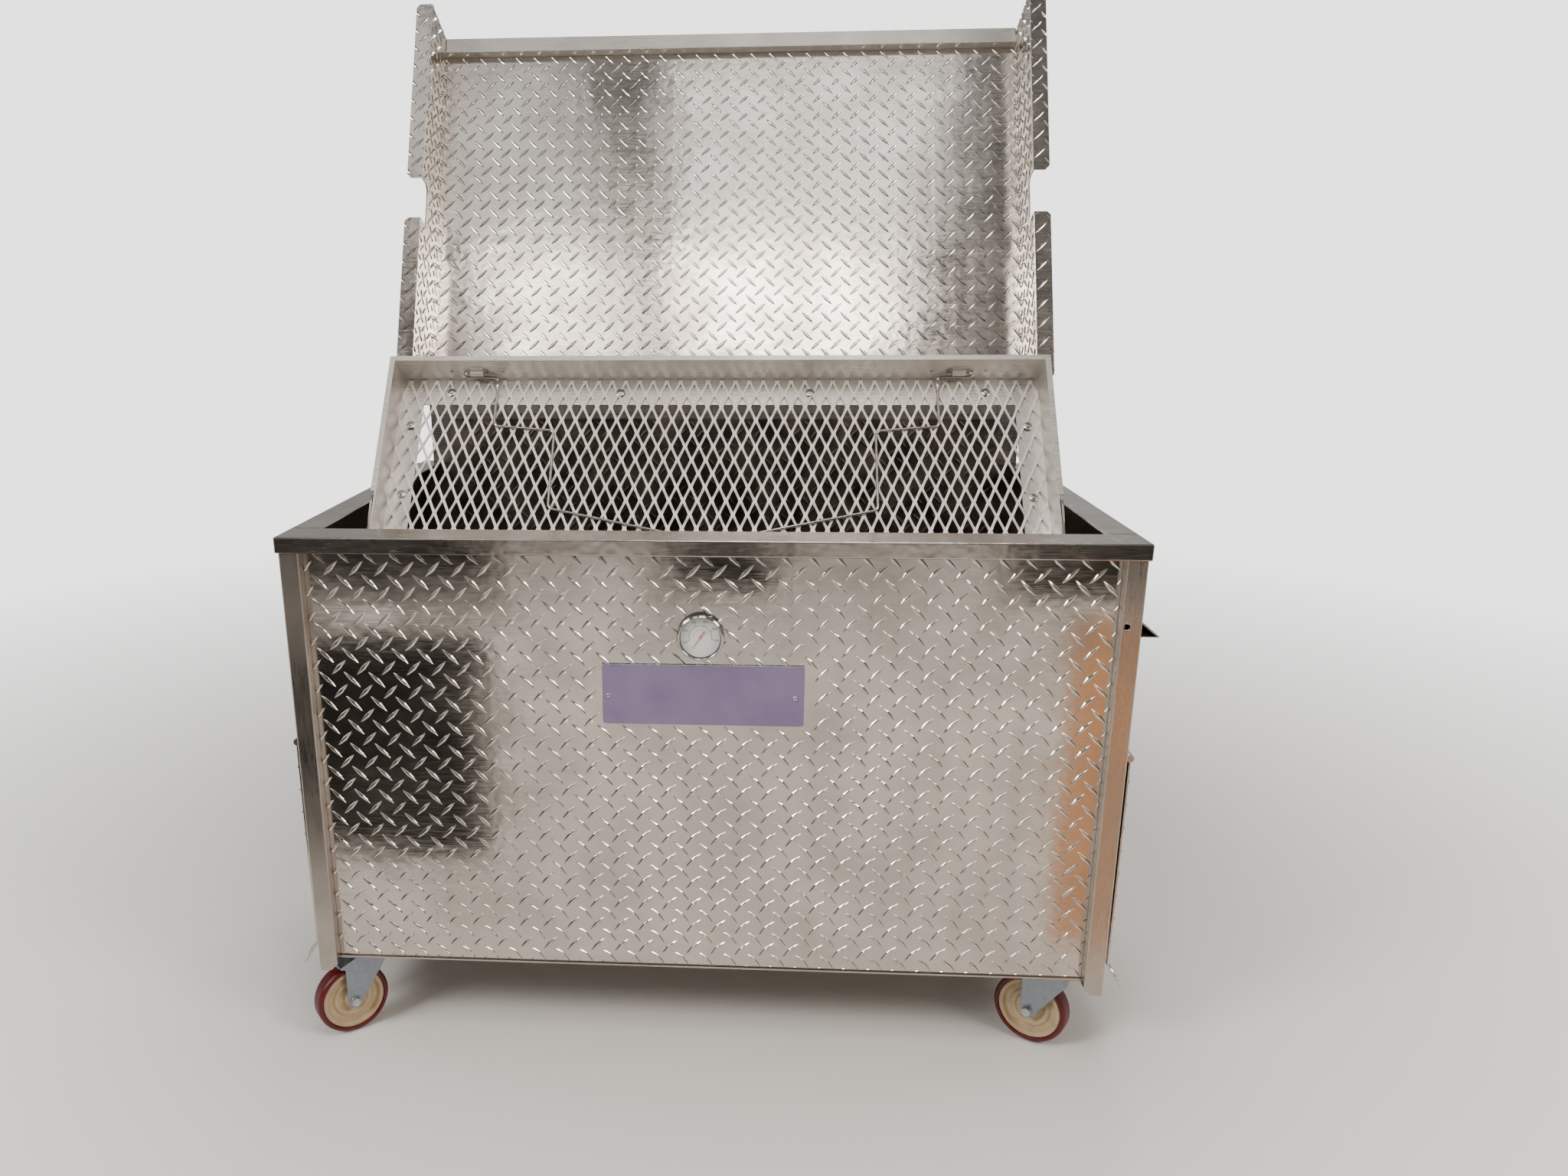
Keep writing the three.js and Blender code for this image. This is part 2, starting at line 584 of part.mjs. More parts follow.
// Round wire through a line of points, its rings carried along without twist
function swept(path, radius, sides) {
  const unit = path.slice(1).map((p, i) => p.clone().sub(path[i]).normalize());
  const ahead = path.map((_, i) => (unit[i - 1] ?? unit[i]).clone().add(unit[i] ?? unit[i - 1]).normalize());
  const out = new THREE.Vector3(0, 0, 1);
  const positions = [];
  const indices = [];
  path.forEach((point, i) => {
    const turn = new THREE.Quaternion().setFromUnitVectors(ahead[Math.max(i - 1, 0)], ahead[i]);
    out.applyQuaternion(turn).projectOnPlane(ahead[i]).normalize();
    const across = ahead[i].clone().cross(out);
    for (let k = 0; k < sides; k += 1) {
      const angle = (k * full) / sides;
      const rim = out.clone().multiplyScalar(radius * Math.cos(angle));
      positions.push(...rim.addScaledVector(across, radius * Math.sin(angle)).add(point).toArray());
    }
  });
  for (let i = 0; i < path.length - 1; i += 1) {
    for (let k = 0; k < sides; k += 1) {
      const [a, b] = [i * sides + k, i * sides + ((k + 1) % sides)];
      indices.push(a, b, b + sides, a, b + sides, a + sides);
    }
  }
  const last = (path.length - 1) * sides;
  for (let k = 1; k < sides - 1; k += 1) {
    indices.push(0, k + 1, k, last, last + k, last + k + 1);
  }
  const geometry = new THREE.BufferGeometry();
  geometry.setAttribute('position', new THREE.BufferAttribute(new Float32Array(positions), 3));
  geometry.setIndex(indices);
  return geometry;
}

function wireBail() {
  return mesh('wire_bail', swept(bailPath(), bail.wire, bail.sides), paint.steel);
}

function bailEyes() {
  const wallFace = tray.length - panSheet;
  const bore = bail.wire + fit;
  const outerRadius = bore + bailEye.wall;
  const centre = [bailWallU, bail.eyeHeight];
  return [-1, 1].map((side) => {
    const eyeOuter = trayHalf - bailEye.outerIn;
    const [x0, x1] = mirrored(side, eyeOuter - bailEye.width, eyeOuter);
    const saddle = rod(outerRadius, x0, x1, bailEye.facets, centre);
    const foot = block([x0, x1], [wallFace - bailEye.wall / 2, wallFace + panSheet / 2],
      [bail.eyeHeight - outerRadius - bailEye.foot, bail.eyeHeight + outerRadius + bailEye.foot]);
    const hole = rod(bore, x0 - overrun, x1 + overrun, bailEye.facets, centre);
    const behind = block([x0 - overrun, x1 + overrun], [wallFace + panSheet / 2, wallFace + 2 * outerRadius],
      [bail.eyeHeight - 2 * outerRadius, bail.eyeHeight + 2 * outerRadius]);
    return cut(join(saddle, foot), hole, behind);
  });
}

// Doors hang outside the ends, drawn with the hinge pin at the origin and the plate hanging down
function doorSpan() {
  return [door.frontEdge, box.depth - door.frontEdge];
}

function doorKnuckles(parity, neckReach) {
  const spans = knuckleSpans(doorHinge, ...doorSpan()).filter((_, i) => i % 2 === parity);
  return spans.map(([y0, y1]) => {
    const barrel = alongY(circle(doorHinge.knuckle, doorHinge.facets), y0, y1);
    const neck = block(
      [-sheet / 2, sheet / 2], [y0, y1],
      neckReach > 0 ? [0, neckReach] : [neckReach, 0]);
    return join(barrel, neck);
  });
}

function doorBore() {
  const [y0, y1] = doorSpan();
  return alongY(circle(doorHinge.pin + fit, doorHinge.facets), y0 - overrun, y1 + overrun);
}

function endDoor(side, name) {
  const top = -doorHinge.knuckle - door.knuckleGap;
  const bend = doorBendZ - doorHingeZ;
  const halfSheet = sheet / 2;
  const foot = bend - door.flareDrop;
  const profile = polygon([
    [-side * halfSheet, top], [-side * halfSheet, bend], [side * (door.flareOut - halfSheet), foot],
    [side * (door.flareOut + halfSheet), foot], [side * halfSheet, bend], [side * halfSheet, top],
  ]);
  const plate = alongY(profile, ...doorSpan());
  return mesh(name, cut(join(plate, ...doorKnuckles(1, 2 * top)), doorBore()), paint.treadPlate);
}

// The pin is staked in the rail's own knuckles, and the door's turn on it
function doorHingeRail(side, name) {
  const railFace = -side * (door.hingeOut - fit - door.railWidth);
  const leafInner = -side * doorHinge.knuckle;
  const wallFace = -side * (door.hingeOut - fit);
  const bottom = -doorHinge.knuckle;
  const top = bottom + door.railHeight;
  const tube = block([wallFace, railFace].sort((a, b) => a - b), doorSpan(), [bottom, top]);
  const [y0, y1] = doorSpan();
  const inside = [wallFace + side * door.railWall, railFace - side * door.railWall].sort((a, b) => a - b);
  const hollow = block(inside, [y0 - overrun, y1 + overrun], [bottom + door.railWall, top - door.railWall]);
  const spans = knuckleSpans(doorHinge, y0, y1).filter((_, i) => i % 2 === 0);
  const leafOuter = leafInner + side * doorHinge.leaf;
  const ears = spans.flatMap((span) => [
    alongY(circle(doorHinge.knuckle, doorHinge.facets), ...span),
    block([Math.min(railFace, leafOuter), Math.max(railFace, leafOuter)], span, [0, doorHinge.leafWidth]),
    block([Math.min(leafInner, leafOuter), Math.max(leafInner, leafOuter)], span, [0, doorHinge.leafWidth]),
  ]);
  const pin = alongY(circle(doorHinge.pin, doorHinge.facets), y0, y1);
  return mesh(name, join(cut(join(tube, ...ears), hollow), pin), paint.smooth);
}

// Thermometer, drawn about its axis with the dial towards -Y
function thermometerZ() {
  return box.rimHeight - thermometer.drop;
}

function faceTurned(profile) {
  return turned(profile, thermometer.facets).rotateX(quarter).translate(thermometer.x, 0, thermometerZ());
}

function thermometerParts() {
  const t = thermometer;
  const back = fit;
  const front = t.depth;
  const dialBack = back + t.cup + fit;
  const dialFront = dialBack + t.dialSheet;
  const glassBack = dialFront + t.glassGap;
  const glassFront = glassBack + t.glass;
  const inner = t.radius - t.bezel;
  const stemHole = t.stem + fit;
  const housing = faceTurned([
    [stemHole, back], [t.radius - t.cup, back], [t.radius, back + t.cup], [t.radius, front - t.cup],
    [t.radius - t.cup, front], [inner - t.bezelLip, front], [inner - t.bezelLip, glassFront + fit],
    [inner, glassFront + fit], [inner, back + t.cup], [stemHole, back + t.cup],
  ]);
  const dial = faceTurned([
    [t.hub + fit, dialBack], [inner - fit, dialBack], [inner - fit, dialFront], [t.hub + fit, dialFront],
  ]);
  const glass = faceTurned([
    [0, glassBack], [inner - fit, glassBack], [inner - fit, glassFront], [0, glassFront],
  ]);
  const stemEnd = -sheet - t.stemLength;
  const nutStart = -sheet - fit;
  const stem = faceTurned([
    [0, stemEnd], [t.stem, stemEnd], [t.stem, nutStart - t.nutDepth], [t.nut, nutStart - t.nutDepth],
    [t.nut, nutStart], [t.stem, nutStart], [t.stem, dialBack - fit], [0, dialBack - fit],
  ]);
  return [
    mesh('thermometer_housing', housing, paint.bright), mesh('thermometer_dial', dial, paint.dial),
    mesh('thermometer_glass', glass, paint.glass), mesh('thermometer_stem', stem, paint.steel),
    mesh('thermometer_pointer', pointer(dialBack, dialFront), paint.needle),
  ];
}

function pointer(dialBack, dialFront) {
  const t = thermometer;
  const back = dialFront + t.pointerFloat;
  const outline = polygon([
    [-t.pointerTailWidth / 2, -t.pointerTail], [t.pointerTailWidth / 2, -t.pointerTail],
    [t.pointerWidth / 2, t.hub], [t.pointerWidth / 4, t.pointerTip], [-t.pointerWidth / 4, t.pointerTip],
    [-t.pointerWidth / 2, t.hub],
  ]);
  const blade = alongY(outline, -back - t.pointerSheet, -back);
  const arbor = turned([
    [0, dialBack], [t.hub, dialBack], [t.hub, back + 2 * t.pointerSheet], [0, back + 2 * t.pointerSheet],
  ], pivotPin.facets).rotateX(quarter);
  return join(blade, arbor).rotateY(pointerRest).translate(t.x, 0, thermometerZ());
}

// Bare plate
function barePlate() {
  const n = nameplate;
  const [x0, x1] = [n.x - n.width / 2, n.x + n.width / 2];
  const middle = box.rimHeight - n.drop;
  const [z0, z1] = [middle - n.height / 2, middle + n.height / 2];
  const c = n.corner;
  const outline = polygon([
    [x0 + c, z0], [x1 - c, z0], [x1, z0 + c], [x1, z1 - c], [x1 - c, z1], [x0 + c, z1], [x0, z1 - c], [x0, z0 + c],
  ]);
  return mesh('nameplate', alongY(outline, -fit - n.sheet, -fit), paint.plate);
}

// Casters, drawn about the stem with the wheel trailing towards -X and its axle along Y
const wheelTurn = Math.PI / caster.facets;
const facetRadius = (radius) => radius / Math.cos(wheelTurn);
const onAxle = (geometry) => geometry.rotateX(quarter).translate(-caster.trail, 0, caster.wheelRadius);

function casterTread() {
  const half = caster.wheelWidth / 2;
  const flat = caster.treadFlat / 2;
  const outer = facetRadius(caster.wheelRadius);
  const inner = facetRadius(caster.wheelRadius - caster.treadDepth);
  const profile = [
    [inner, -half], [outer - caster.treadShoulder, -half], [outer, -flat], [outer, flat],
    [outer - caster.treadShoulder, half], [inner, half],
  ];
  return onAxle(turned(profile, caster.facets, wheelTurn));
}

function casterHub() {
  const bore = caster.axleRadius + fit;
  const outer = facetRadius(caster.wheelRadius - caster.treadDepth - fit);
  const { boss, bossHalf, ringRadius, ringHalf, ringWidth, web, rimWidth, rimHalf } = hub;
  const side = [
    [bore, bossHalf], [boss, bossHalf], [boss + rimWidth, web], [ringRadius, ringHalf],
    [ringRadius + ringWidth, web], [outer - rimWidth, rimHalf], [outer, rimHalf],
  ];
  const profile = [...side, ...side.map(([radius, height]) => [radius, -height]).reverse()].reverse();
  return onAxle(turned(profile, caster.facets, wheelTurn));
}

const forkInner = hub.bossHalf + fit;
const forkOuter = forkInner + caster.fork;
const crownTop = caster.height - caster.plate - caster.race - fit;
const forkTop = crownTop - caster.crown;

function casterFork() {
  const c = caster;
  const eye = new THREE.Vector2(-c.trail, c.wheelRadius);
  const apronEnd = -c.trail - c.apronReach;
  const apronTop = forkTop - c.apronFall;
  const apronUnder = apronTop - c.fork;
  const points = [
    [c.forkTopHalf, forkTop], [-c.forkTopHalf, forkTop], [apronEnd, apronTop], [apronEnd, apronUnder],
    [-c.trail - c.forkEye, apronUnder - c.fork],
  ];
  for (let i = 0; i <= hexFacets; i += 1) {
    const angle = Math.PI + (i * c.eyeArc) / hexFacets;
    points.push([eye.x + c.forkEye * Math.cos(angle), eye.y + c.forkEye * Math.sin(angle)]);
  }
  points.push([c.forkTopHalf, forkTop - c.forkFront]);
  const outline = polygon(points);
  outline.holes.push(circle(c.axleRadius + fit, pivotPin.facets, [eye.x, eye.y]));
  const legs = alongY(outline, -forkOuter, forkOuter);
  const throat = alongY(polygon([
    [2 * c.forkTopHalf, -overrun], [2 * c.forkTopHalf, forkTop - c.fork], [-c.forkTopHalf, forkTop - c.fork],
    [apronEnd, apronUnder], [apronEnd - overrun, apronUnder], [apronEnd - overrun, -overrun],
  ]), -forkInner, forkInner);
  const tab = block(
    [apronEnd, apronEnd + c.fork], [-c.tabHalf, c.tabHalf], [apronUnder - c.tabDrop, apronTop - c.fork / 2]);
  const crown = turned([
    [0, forkTop - overrun], [c.forkTopHalf - c.fork, forkTop - overrun], [c.crownRadius, forkTop],
    [c.crownRadius, crownTop - c.fork / 2], [c.raceRadius, crownTop], [0, crownTop],
  ], pivotPin.facets);
  return join(cut(legs, throat), crown, tab);
}

function casterAxle() {
  const reach = forkOuter + fit;
  const profile = [
    [0, -reach - caster.head], [caster.headRadius, -reach - caster.head], [caster.headRadius, -reach],
    [caster.axleRadius, -reach], [caster.axleRadius, reach], [caster.headRadius, reach],
    [caster.headRadius, reach + caster.head], [0, reach + caster.head],
  ];
  return onAxle(turned(profile, 2 * hexFacets));
}

function casterPlate() {
  const c = caster;
  const halfX = c.plateWidth / 2;
  const halfY = c.plateDepth / 2;
  const corner = c.plateCorner;
  const outline = polygon([
    [-halfX + corner, -halfY], [halfX - corner, -halfY], [halfX, -halfY + corner], [halfX, halfY - corner],
    [halfX - corner, halfY], [-halfX + corner, halfY], [-halfX, halfY - corner], [-halfX, -halfY + corner],
  ]);
  const under = c.height - c.plate;
  const flat = alongZ(outline, under, c.height);
  const race = turned([
    [0, under - c.race], [c.raceRadius, under - c.race], [c.crownRadius, under], [c.crownRadius, under + fit],
    [0, under + fit],
  ], pivotPin.facets);
  const bolts = [[-1, -1], [1, -1], [1, 1], [-1, 1]].map(([a, b]) => {
    const centre = [a * (halfX - c.boltInset), b * (halfY - c.boltInset)];
    return alongZ(circle(c.boltRadius, hexFacets, centre), under - c.bolt, under + fit);
  });
  return join(flat, race, ...bolts);
}

function casterSet(name, side, front, heading) {
  const x = side * (box.halfBetweenPosts - caster.stemInset);
  const y = front ? caster.stemBack : box.depth - caster.stemBack;
  return [
    group([x, y, 0], [0, 0, 0], mesh(`${name}_caster_plate`, casterPlate(), paint.zinc)),
    group([x, y, 0], [0, 0, heading],
      mesh(`${name}_caster_fork`, casterFork(), paint.zinc),
      mesh(`${name}_caster_axle`, casterAxle(), paint.bright),
      mesh(`${name}_wheel_hub`, casterHub(), paint.cream),
      mesh(`${name}_wheel_tread`, casterTread(), paint.tread)),
  ];
}

// Assembly
const [bodyLeaf, hingePin, lidLeaf] = lidHingeParts();
const assembly = new THREE.Group();
assembly.add(
  frontPanel(), backPanel(), floorPanel(), endPanel(-1, 'left_end_panel'), endPanel(1, 'right_end_panel'),
  backLiner(), backTopRail(),
  mesh('front_left_post', cornerPost(-1, true), paint.smooth),
  mesh('front_right_post', cornerPost(1, true), paint.smooth),
  mesh('rear_left_post', cornerPost(-1, false), paint.smooth),
  mesh('rear_right_post', cornerPost(1, false), paint.smooth),
  frontRim(), endRim(-1, 'left_end_rim'), endRim(1, 'right_end_rim'), grabRail(),
  ...thermometerParts(), barePlate(),
  mesh('left_tray_pivot', trayPivot(-1), paint.steel), mesh('right_tray_pivot', trayPivot(1), paint.steel),
  group([0, lidHingeY, lidHingeZ], [0, 0, 0], bodyLeaf, hingePin),
  group([0, lidHingeY, lidHingeZ], [-lid.openAngle, 0, 0],
    lidLeaf, lidPlate(), lidWall(-1, 'lid_left_wall'), lidWall(1, 'lid_right_wall'), lidFrontRail()),
  group([0, tray.pivotY, trayPivotZ], [tray.raised, 0, 0],
    group([0, -tray.pivotU, -tray.pivotH], [0, 0, 0],
      trayPan(), trayNet(), wireBail(),
      mesh('tray_left_strap', trayStrap(-1), paint.smooth), mesh('tray_right_strap', trayStrap(1), paint.smooth))),
  group([-doorHingeX, 0, doorHingeZ], [0, 0, 0],
    endDoor(-1, 'left_door'), doorHingeRail(-1, 'left_door_hinge_rail')),
  group([doorHingeX, 0, doorHingeZ], [0, 0, 0],
    endDoor(1, 'right_door'), doorHingeRail(1, 'right_door_hinge_rail')),
  ...casterSet('front_left', -1, true, frontHeadings[0]), ...casterSet('front_right', 1, true, frontHeadings[1]),
  ...casterSet('rear_left', -1, false, rearHeadings[0]), ...casterSet('rear_right', 1, false, rearHeadings[1]),
);

// The origin goes to the middle of the footprint, on the ground
assembly.updateMatrixWorld(true);
const bounds = new THREE.Box3().setFromObject(assembly);
const middle = bounds.getCenter(new THREE.Vector3());
assembly.position.set(-middle.x, -middle.y, -bounds.min.z);
console.log(`origin shift: ${assembly.position.toArray().map((v) => v.toFixed(3)).join(' ')}`);

export default assembly;
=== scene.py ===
import math

import bmesh
import bpy
from mathutils import Matrix, Vector


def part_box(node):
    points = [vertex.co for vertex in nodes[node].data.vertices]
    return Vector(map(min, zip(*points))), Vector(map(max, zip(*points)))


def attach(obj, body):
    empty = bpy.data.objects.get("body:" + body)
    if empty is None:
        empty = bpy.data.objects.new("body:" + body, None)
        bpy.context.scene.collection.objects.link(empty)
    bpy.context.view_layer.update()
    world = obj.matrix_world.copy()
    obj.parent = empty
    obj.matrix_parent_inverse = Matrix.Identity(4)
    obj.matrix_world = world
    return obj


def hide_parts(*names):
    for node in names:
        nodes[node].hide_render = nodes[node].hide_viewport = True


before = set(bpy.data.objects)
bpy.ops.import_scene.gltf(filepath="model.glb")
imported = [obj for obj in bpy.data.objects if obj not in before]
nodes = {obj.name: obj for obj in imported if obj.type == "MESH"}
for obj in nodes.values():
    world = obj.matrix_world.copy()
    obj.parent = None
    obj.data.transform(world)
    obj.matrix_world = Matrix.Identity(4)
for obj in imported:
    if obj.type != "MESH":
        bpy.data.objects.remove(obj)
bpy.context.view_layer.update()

# Lengths are written in millimetres and set in metres. Y is counted back from the front panel's face
MM = 0.001
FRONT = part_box("front_panel")[0].y / MM
CORNERS = ("front_left", "front_right", "rear_left", "rear_right")


def at(x, y, z):
    """A point given in millimetres from the middle, the front panel's face and the ground."""
    return Vector((x, y + FRONT, z)) * MM


# Where the tilted and turned parts stand at rest
TRAY_PIVOT = at(0, 54.4, 587.3)
TRAY_TILT = math.radians(52)
LID_PIVOT = at(0, 801.3, 1028.8)
LID_OPEN = math.radians(114.5)

# Casters: how far each is turned, where its stem stands, how far its wheel trails it, and the wheel's radius
HEADING = {"front_left": 38, "front_right": -33, "rear_left": 24, "rear_right": -12}
STEM = {
    "front_left": (-597.5, 52), "front_right": (597.5, 52),
    "rear_left": (-597.5, 748), "rear_right": (597.5, 748),
}
TRAIL = 35
WHEEL_RADIUS = 63.5

# The tray's own frame is X, u back from its front wall and h up from its underside.
# Its pivot is a little behind the front wall and above the underside
PIVOT_U, PIVOT_H = 12, 18
TRAY = (Matrix.Translation(TRAY_PIVOT) @ Matrix.Rotation(TRAY_TILT, 4, "X")
        @ Matrix.Translation(Vector((0, -PIVOT_U, -PIVOT_H)) * MM) @ Matrix.Scale(MM, 4))
# The lid's own frame is X, Y and Z from its pin with the lid shut
LID = Matrix.Translation(LID_PIVOT) @ Matrix.Rotation(-LID_OPEN, 4, "X") @ Matrix.Scale(MM, 4)
BOX = Matrix.Translation(at(0, 0, 0)) @ Matrix.Scale(MM, 4)


# Materials


def linear(code):
    """An sRGB hex colour as linear red, green, blue and alpha."""
    parts = [int(code[i:i + 2], 16) / 255 for i in (0, 2, 4)]
    return [c / 12.92 if c <= 0.04045 else ((c + 0.055) / 1.055) ** 2.4 for c in parts] + [1.0]


def add(tree, kind, inputs=None, **settings):
    """Adds a node with its settings. An input is a plain value or another node's output."""
    made = tree.nodes.new(kind)
    for name, value in settings.items():
        setattr(made, name, value)
    for name, value in (inputs or {}).items():
        if isinstance(value, bpy.types.NodeSocket):
            tree.links.new(value, made.inputs[name])
        else:
            made.inputs[name].default_value = value
    return made


def shader(name, **values):
    """A new material with its shader's plain values set on the shader's own sockets."""
    material = bpy.data.materials.new(name)
    material.use_nodes = True
    tree = material.node_tree
    bsdf = tree.nodes["Principled BSDF"]
    for key, value in values.items():
        bsdf.inputs[key.replace("_", " ").title().replace("Ior", "IOR")].default_value = value
    return material, tree, bsdf


def noise_at(tree, size, detail, stretch=(1, 1, 1)):
    """Noise whose lumps are size millimetres across, drawn out by stretch along X, Y and Z."""
    where = add(tree, "ShaderNodeTexCoord")
    scale = [1 / s for s in stretch]
    lay = add(tree, "ShaderNodeMapping", {"Vector": where.outputs["Object"], "Scale": scale})
    return add(tree, "ShaderNodeTexNoise", {
        "Vector": lay.outputs["Vector"], "Scale": 1 / (size * MM), "Detail": detail, "Roughness": 0.5,
    }).outputs["Fac"]


def spread(tree, value, low, high, start=0.35, end=0.65):
    """Noise between start and end becomes a number from low to high."""
    return add(tree, "ShaderNodeMapRange", {
        "Value": value, "From Min": start, "From Max": end, "To Min": low, "To Max": high,
    }).outputs["Result"]


def blended(tree, share, first, second):
    """Two hex colours mixed by a share. A colour mix has them in its sockets 6 and 7."""
    mix = add(tree, "ShaderNodeMix", {0: share}, data_type="RGBA")
    mix.inputs[6].default_value = linear(first)
    mix.inputs[7].default_value = linear(second)
    return mix.outputs[2]


def bumped(tree, bsdf, *layers):
    """Each layer is a height pattern and its depth in millimetres."""
    normal = None
    for height, depth in layers:
        inputs = {"Height": height, "Distance": depth * MM, "Strength": 1.0}
        if normal is not None:
            inputs["Normal"] = normal
        normal = add(tree, "ShaderNodeBump", inputs).outputs["Normal"]
    tree.links.new(normal, bsdf.inputs["Normal"])


# What shows on rolled metal, in millimetres: the roll's lines and their depth, handling marks,
# the sheet's slow buckle and its depth, and the dents round each lug
LINES, LINE_DEPTH = 1.6, 0.012
MARKS = 110
BUCKLE, BUCKLE_DEPTH = 160, 1.2
DENTS = 24


def bright_sheet(name, fresh, dull, low, high, stretch, dent_depth=0.0, metallic=1.0):
    """Rolled metal with lines along the roll, cloudy marks and a slight buckle that bends reflections."""
    material, tree, bsdf = shader(name, metallic=metallic)
    lines = noise_at(tree, LINES, 4, stretch)
    marks = noise_at(tree, MARKS, 4)
    share = spread(tree, marks, 0.0, 0.75)
    tree.links.new(blended(tree, share, fresh, dull), bsdf.inputs["Base Color"])
    grain = spread(tree, lines, low, high)
    lift = spread(tree, marks, -0.03, 0.05)
    rough = add(tree, "ShaderNodeMath", {0: grain, 1: lift}, operation="ADD").outputs[0]
    tree.links.new(rough, bsdf.inputs["Roughness"])
    layers = [(noise_at(tree, BUCKLE, 1), BUCKLE_DEPTH), (lines, LINE_DEPTH)]
    if dent_depth:
        layers.insert(1, (noise_at(tree, DENTS, 1), dent_depth))
    bumped(tree, bsdf, *layers)
    return material


# Mill finish aluminium tread plate, rolled bright, drawn in a little round each lug
tread_plate = bright_sheet("bright_tread_plate", "d9d1c9", "bfb7af", 0.13, 0.21, (24, 1, 1), 0.3)
# The same plate's smooth side on the rims, where the lugs print through as a soft ripple
rim_sheet = bright_sheet("smooth_side_rims", "cfc6bd", "b3aaa1", 0.15, 0.24, (24, 1, 1), 0.9)
# The lugs are burnished by handling, so they glint more than the sheet
lug_crown = bright_sheet("burnished_lugs", "e2dcd5", "d0c9c1", 0.14, 0.22, (1, 1, 1))
# Plain extruded aluminium of the posts, with long draw lines
drawn_post = bright_sheet("drawn_aluminium", "c3bab1", "aba299", 0.26, 0.36, (1, 1, 40))
# Folded aluminium sheet of the tray and the lid's rail, duller, with lines across
pan_sheet = bright_sheet("folded_pan_sheet", "dcd7d1", "c6c1ba", 0.26, 0.38, (30, 1, 1), metallic=0.7)
# Expanded aluminium of the grill, dull where it was slit and stretched
grill_metal = bright_sheet("expanded_grill_metal", "eeeae5", "dcd7d1", 0.3, 0.42, (1, 1, 1), metallic=0.3)
# Drawn stainless wire
wire_metal = bright_sheet("stainless_wire", "c9c3bc", "aea79f", 0.18, 0.26, (1, 1, 1))
# Plain steel of hinges, pins and screws
hinge_steel = bright_sheet("plain_hinge_steel", "a9a5a1", "8b8681", 0.26, 0.38, (12, 1, 1))


def liner_painted_shade():
    """Steel liner, painted dark brown as shade inside the box, with patches where it shines more."""
    material, tree, bsdf = shader("liner_painted_shade", metallic=0.85)
    shade_patches = noise_at(tree, 70, 6)
    # The two dark browns are painted shade inside the box
    tree.links.new(blended(tree, spread(tree, shade_patches, 0, 1), "3b342f", "5d544c"), bsdf.inputs["Base Color"])
    tree.links.new(spread(tree, shade_patches, 0.32, 0.6), bsdf.inputs["Roughness"])
    bumped(tree, bsdf, (noise_at(tree, 18, 4), 0.15))
    return material


def zinc_plate(name, dark, light, low, high):
    """Blue zinc plating on pressed steel: cool grey with soft cloudy crystals."""
    material, tree, bsdf = shader(name, metallic=0.9)
    cloud = noise_at(tree, 9, 5)
    tree.links.new(blended(tree, spread(tree, cloud, 0, 1), dark, light), bsdf.inputs["Base Color"])
    tree.links.new(spread(tree, cloud, low, high), bsdf.inputs["Roughness"])
    bumped(tree, bsdf, (cloud, 0.03))
    return material


def moulded(name, main, other, low, high, size, depth, **values):
    """Moulded plastic or rubber: nearly even colour with slight flow marks and a fine skin."""
    material, tree, bsdf = shader(name, **values)
    flow = noise_at(tree, size, 4)
    tree.links.new(blended(tree, spread(tree, flow, 0, 1), main, other), bsdf.inputs["Base Color"])
    tree.links.new(spread(tree, flow, low, high), bsdf.inputs["Roughness"])
    bumped(tree, bsdf, (noise_at(tree, 1.2, 2), depth))
    return material


# Cast polyurethane tread, dark red with a soft gloss
red_tread = moulded("polyurethane_tread", "61020f", "4d020b", 0.34, 0.46, 30, 0.02, ior=1.5)
# Polyolefin wheel core, cream
cream_core = moulded("polyolefin_core", "c3ad8c", "b39c7b", 0.34, 0.46, 22, 0.02, ior=1.5)
# Enamelled plate, violet grey
plate_enamel = moulded("violet_grey_enamel", "857599", "7c6c90", 0.3, 0.4, 60, 0.01, ior=1.5)
# Printed dial card, its ink, and the pointer's red paint
dial_card = moulded("dial_card", "f6f7f4", "eeefec", 0.5, 0.6, 20, 0.005, ior=1.45)
dial_ink = moulded("dial_ink", "1f252b", "272e35", 0.5, 0.6, 10, 0.005, ior=1.45)
needle_paint = moulded("needle_paint", "d01a18", "bb1514", 0.35, 0.45, 6, 0.005, ior=1.5)
# Polished steel of the bezel
chrome, _, chrome_bsdf = shader("polished_bezel_steel", metallic=1.0, roughness=0.08)
chrome_bsdf.inputs["Base Color"].default_value = linear("d6d3d0")
# Thin flat glass over the dial, clear apart from its gloss
glass, _, glass_bsdf = shader("dial_glass", roughness=0.02, ior=1.5, alpha=0.14)
glass_bsdf.inputs["Base Color"].default_value = linear("f4f7f6")
# Dark brown painted shade for the inside of the box
painted_shade_liner = liner_painted_shade()
# The forks are pressed and dull, the bolts are brighter
zinc = zinc_plate("blue_zinc_plate", "8b939c", "979fa7", 0.3, 0.42)
bolt_zinc = zinc_plate("bright_bolt_zinc", "aab1b8", "c2c6ca", 0.18, 0.3)


# Pieces


def finish_piece(name, bm, material, body, place=BOX, smooth=0):
    """Turns a bmesh in millimetres into a piece that rides on a body, smooth up to an angle in degrees."""
    bmesh.ops.transform(bm, matrix=place, verts=bm.verts)
    mesh = bpy.data.meshes.new(name)
    bm.to_mesh(mesh)
    bm.free()
    mesh.materials.append(material)
    piece = bpy.data.objects.new(name, mesh)
    bpy.context.scene.collection.objects.link(piece)
    if smooth:
        mesh.shade_smooth()
        mesh.set_sharp_from_angle(angle=math.radians(smooth))
    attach(piece, body)
    return piece


# Tread lugs, in two crossed sets on one lattice, in millimetres. The pinch draws the foot's outline in to
# a lens, and each rise has its share of the length and width below it and its share of the height
LUG = {
    "half": 18.0, "width": 3.8, "height": 1.9, "pitch": 40.5, "sunk": 0.05, "pinch": 0.84,
    "rises": ((0.86, 0.52, 0.78), (0.74, 0.3, 1.0)),
}


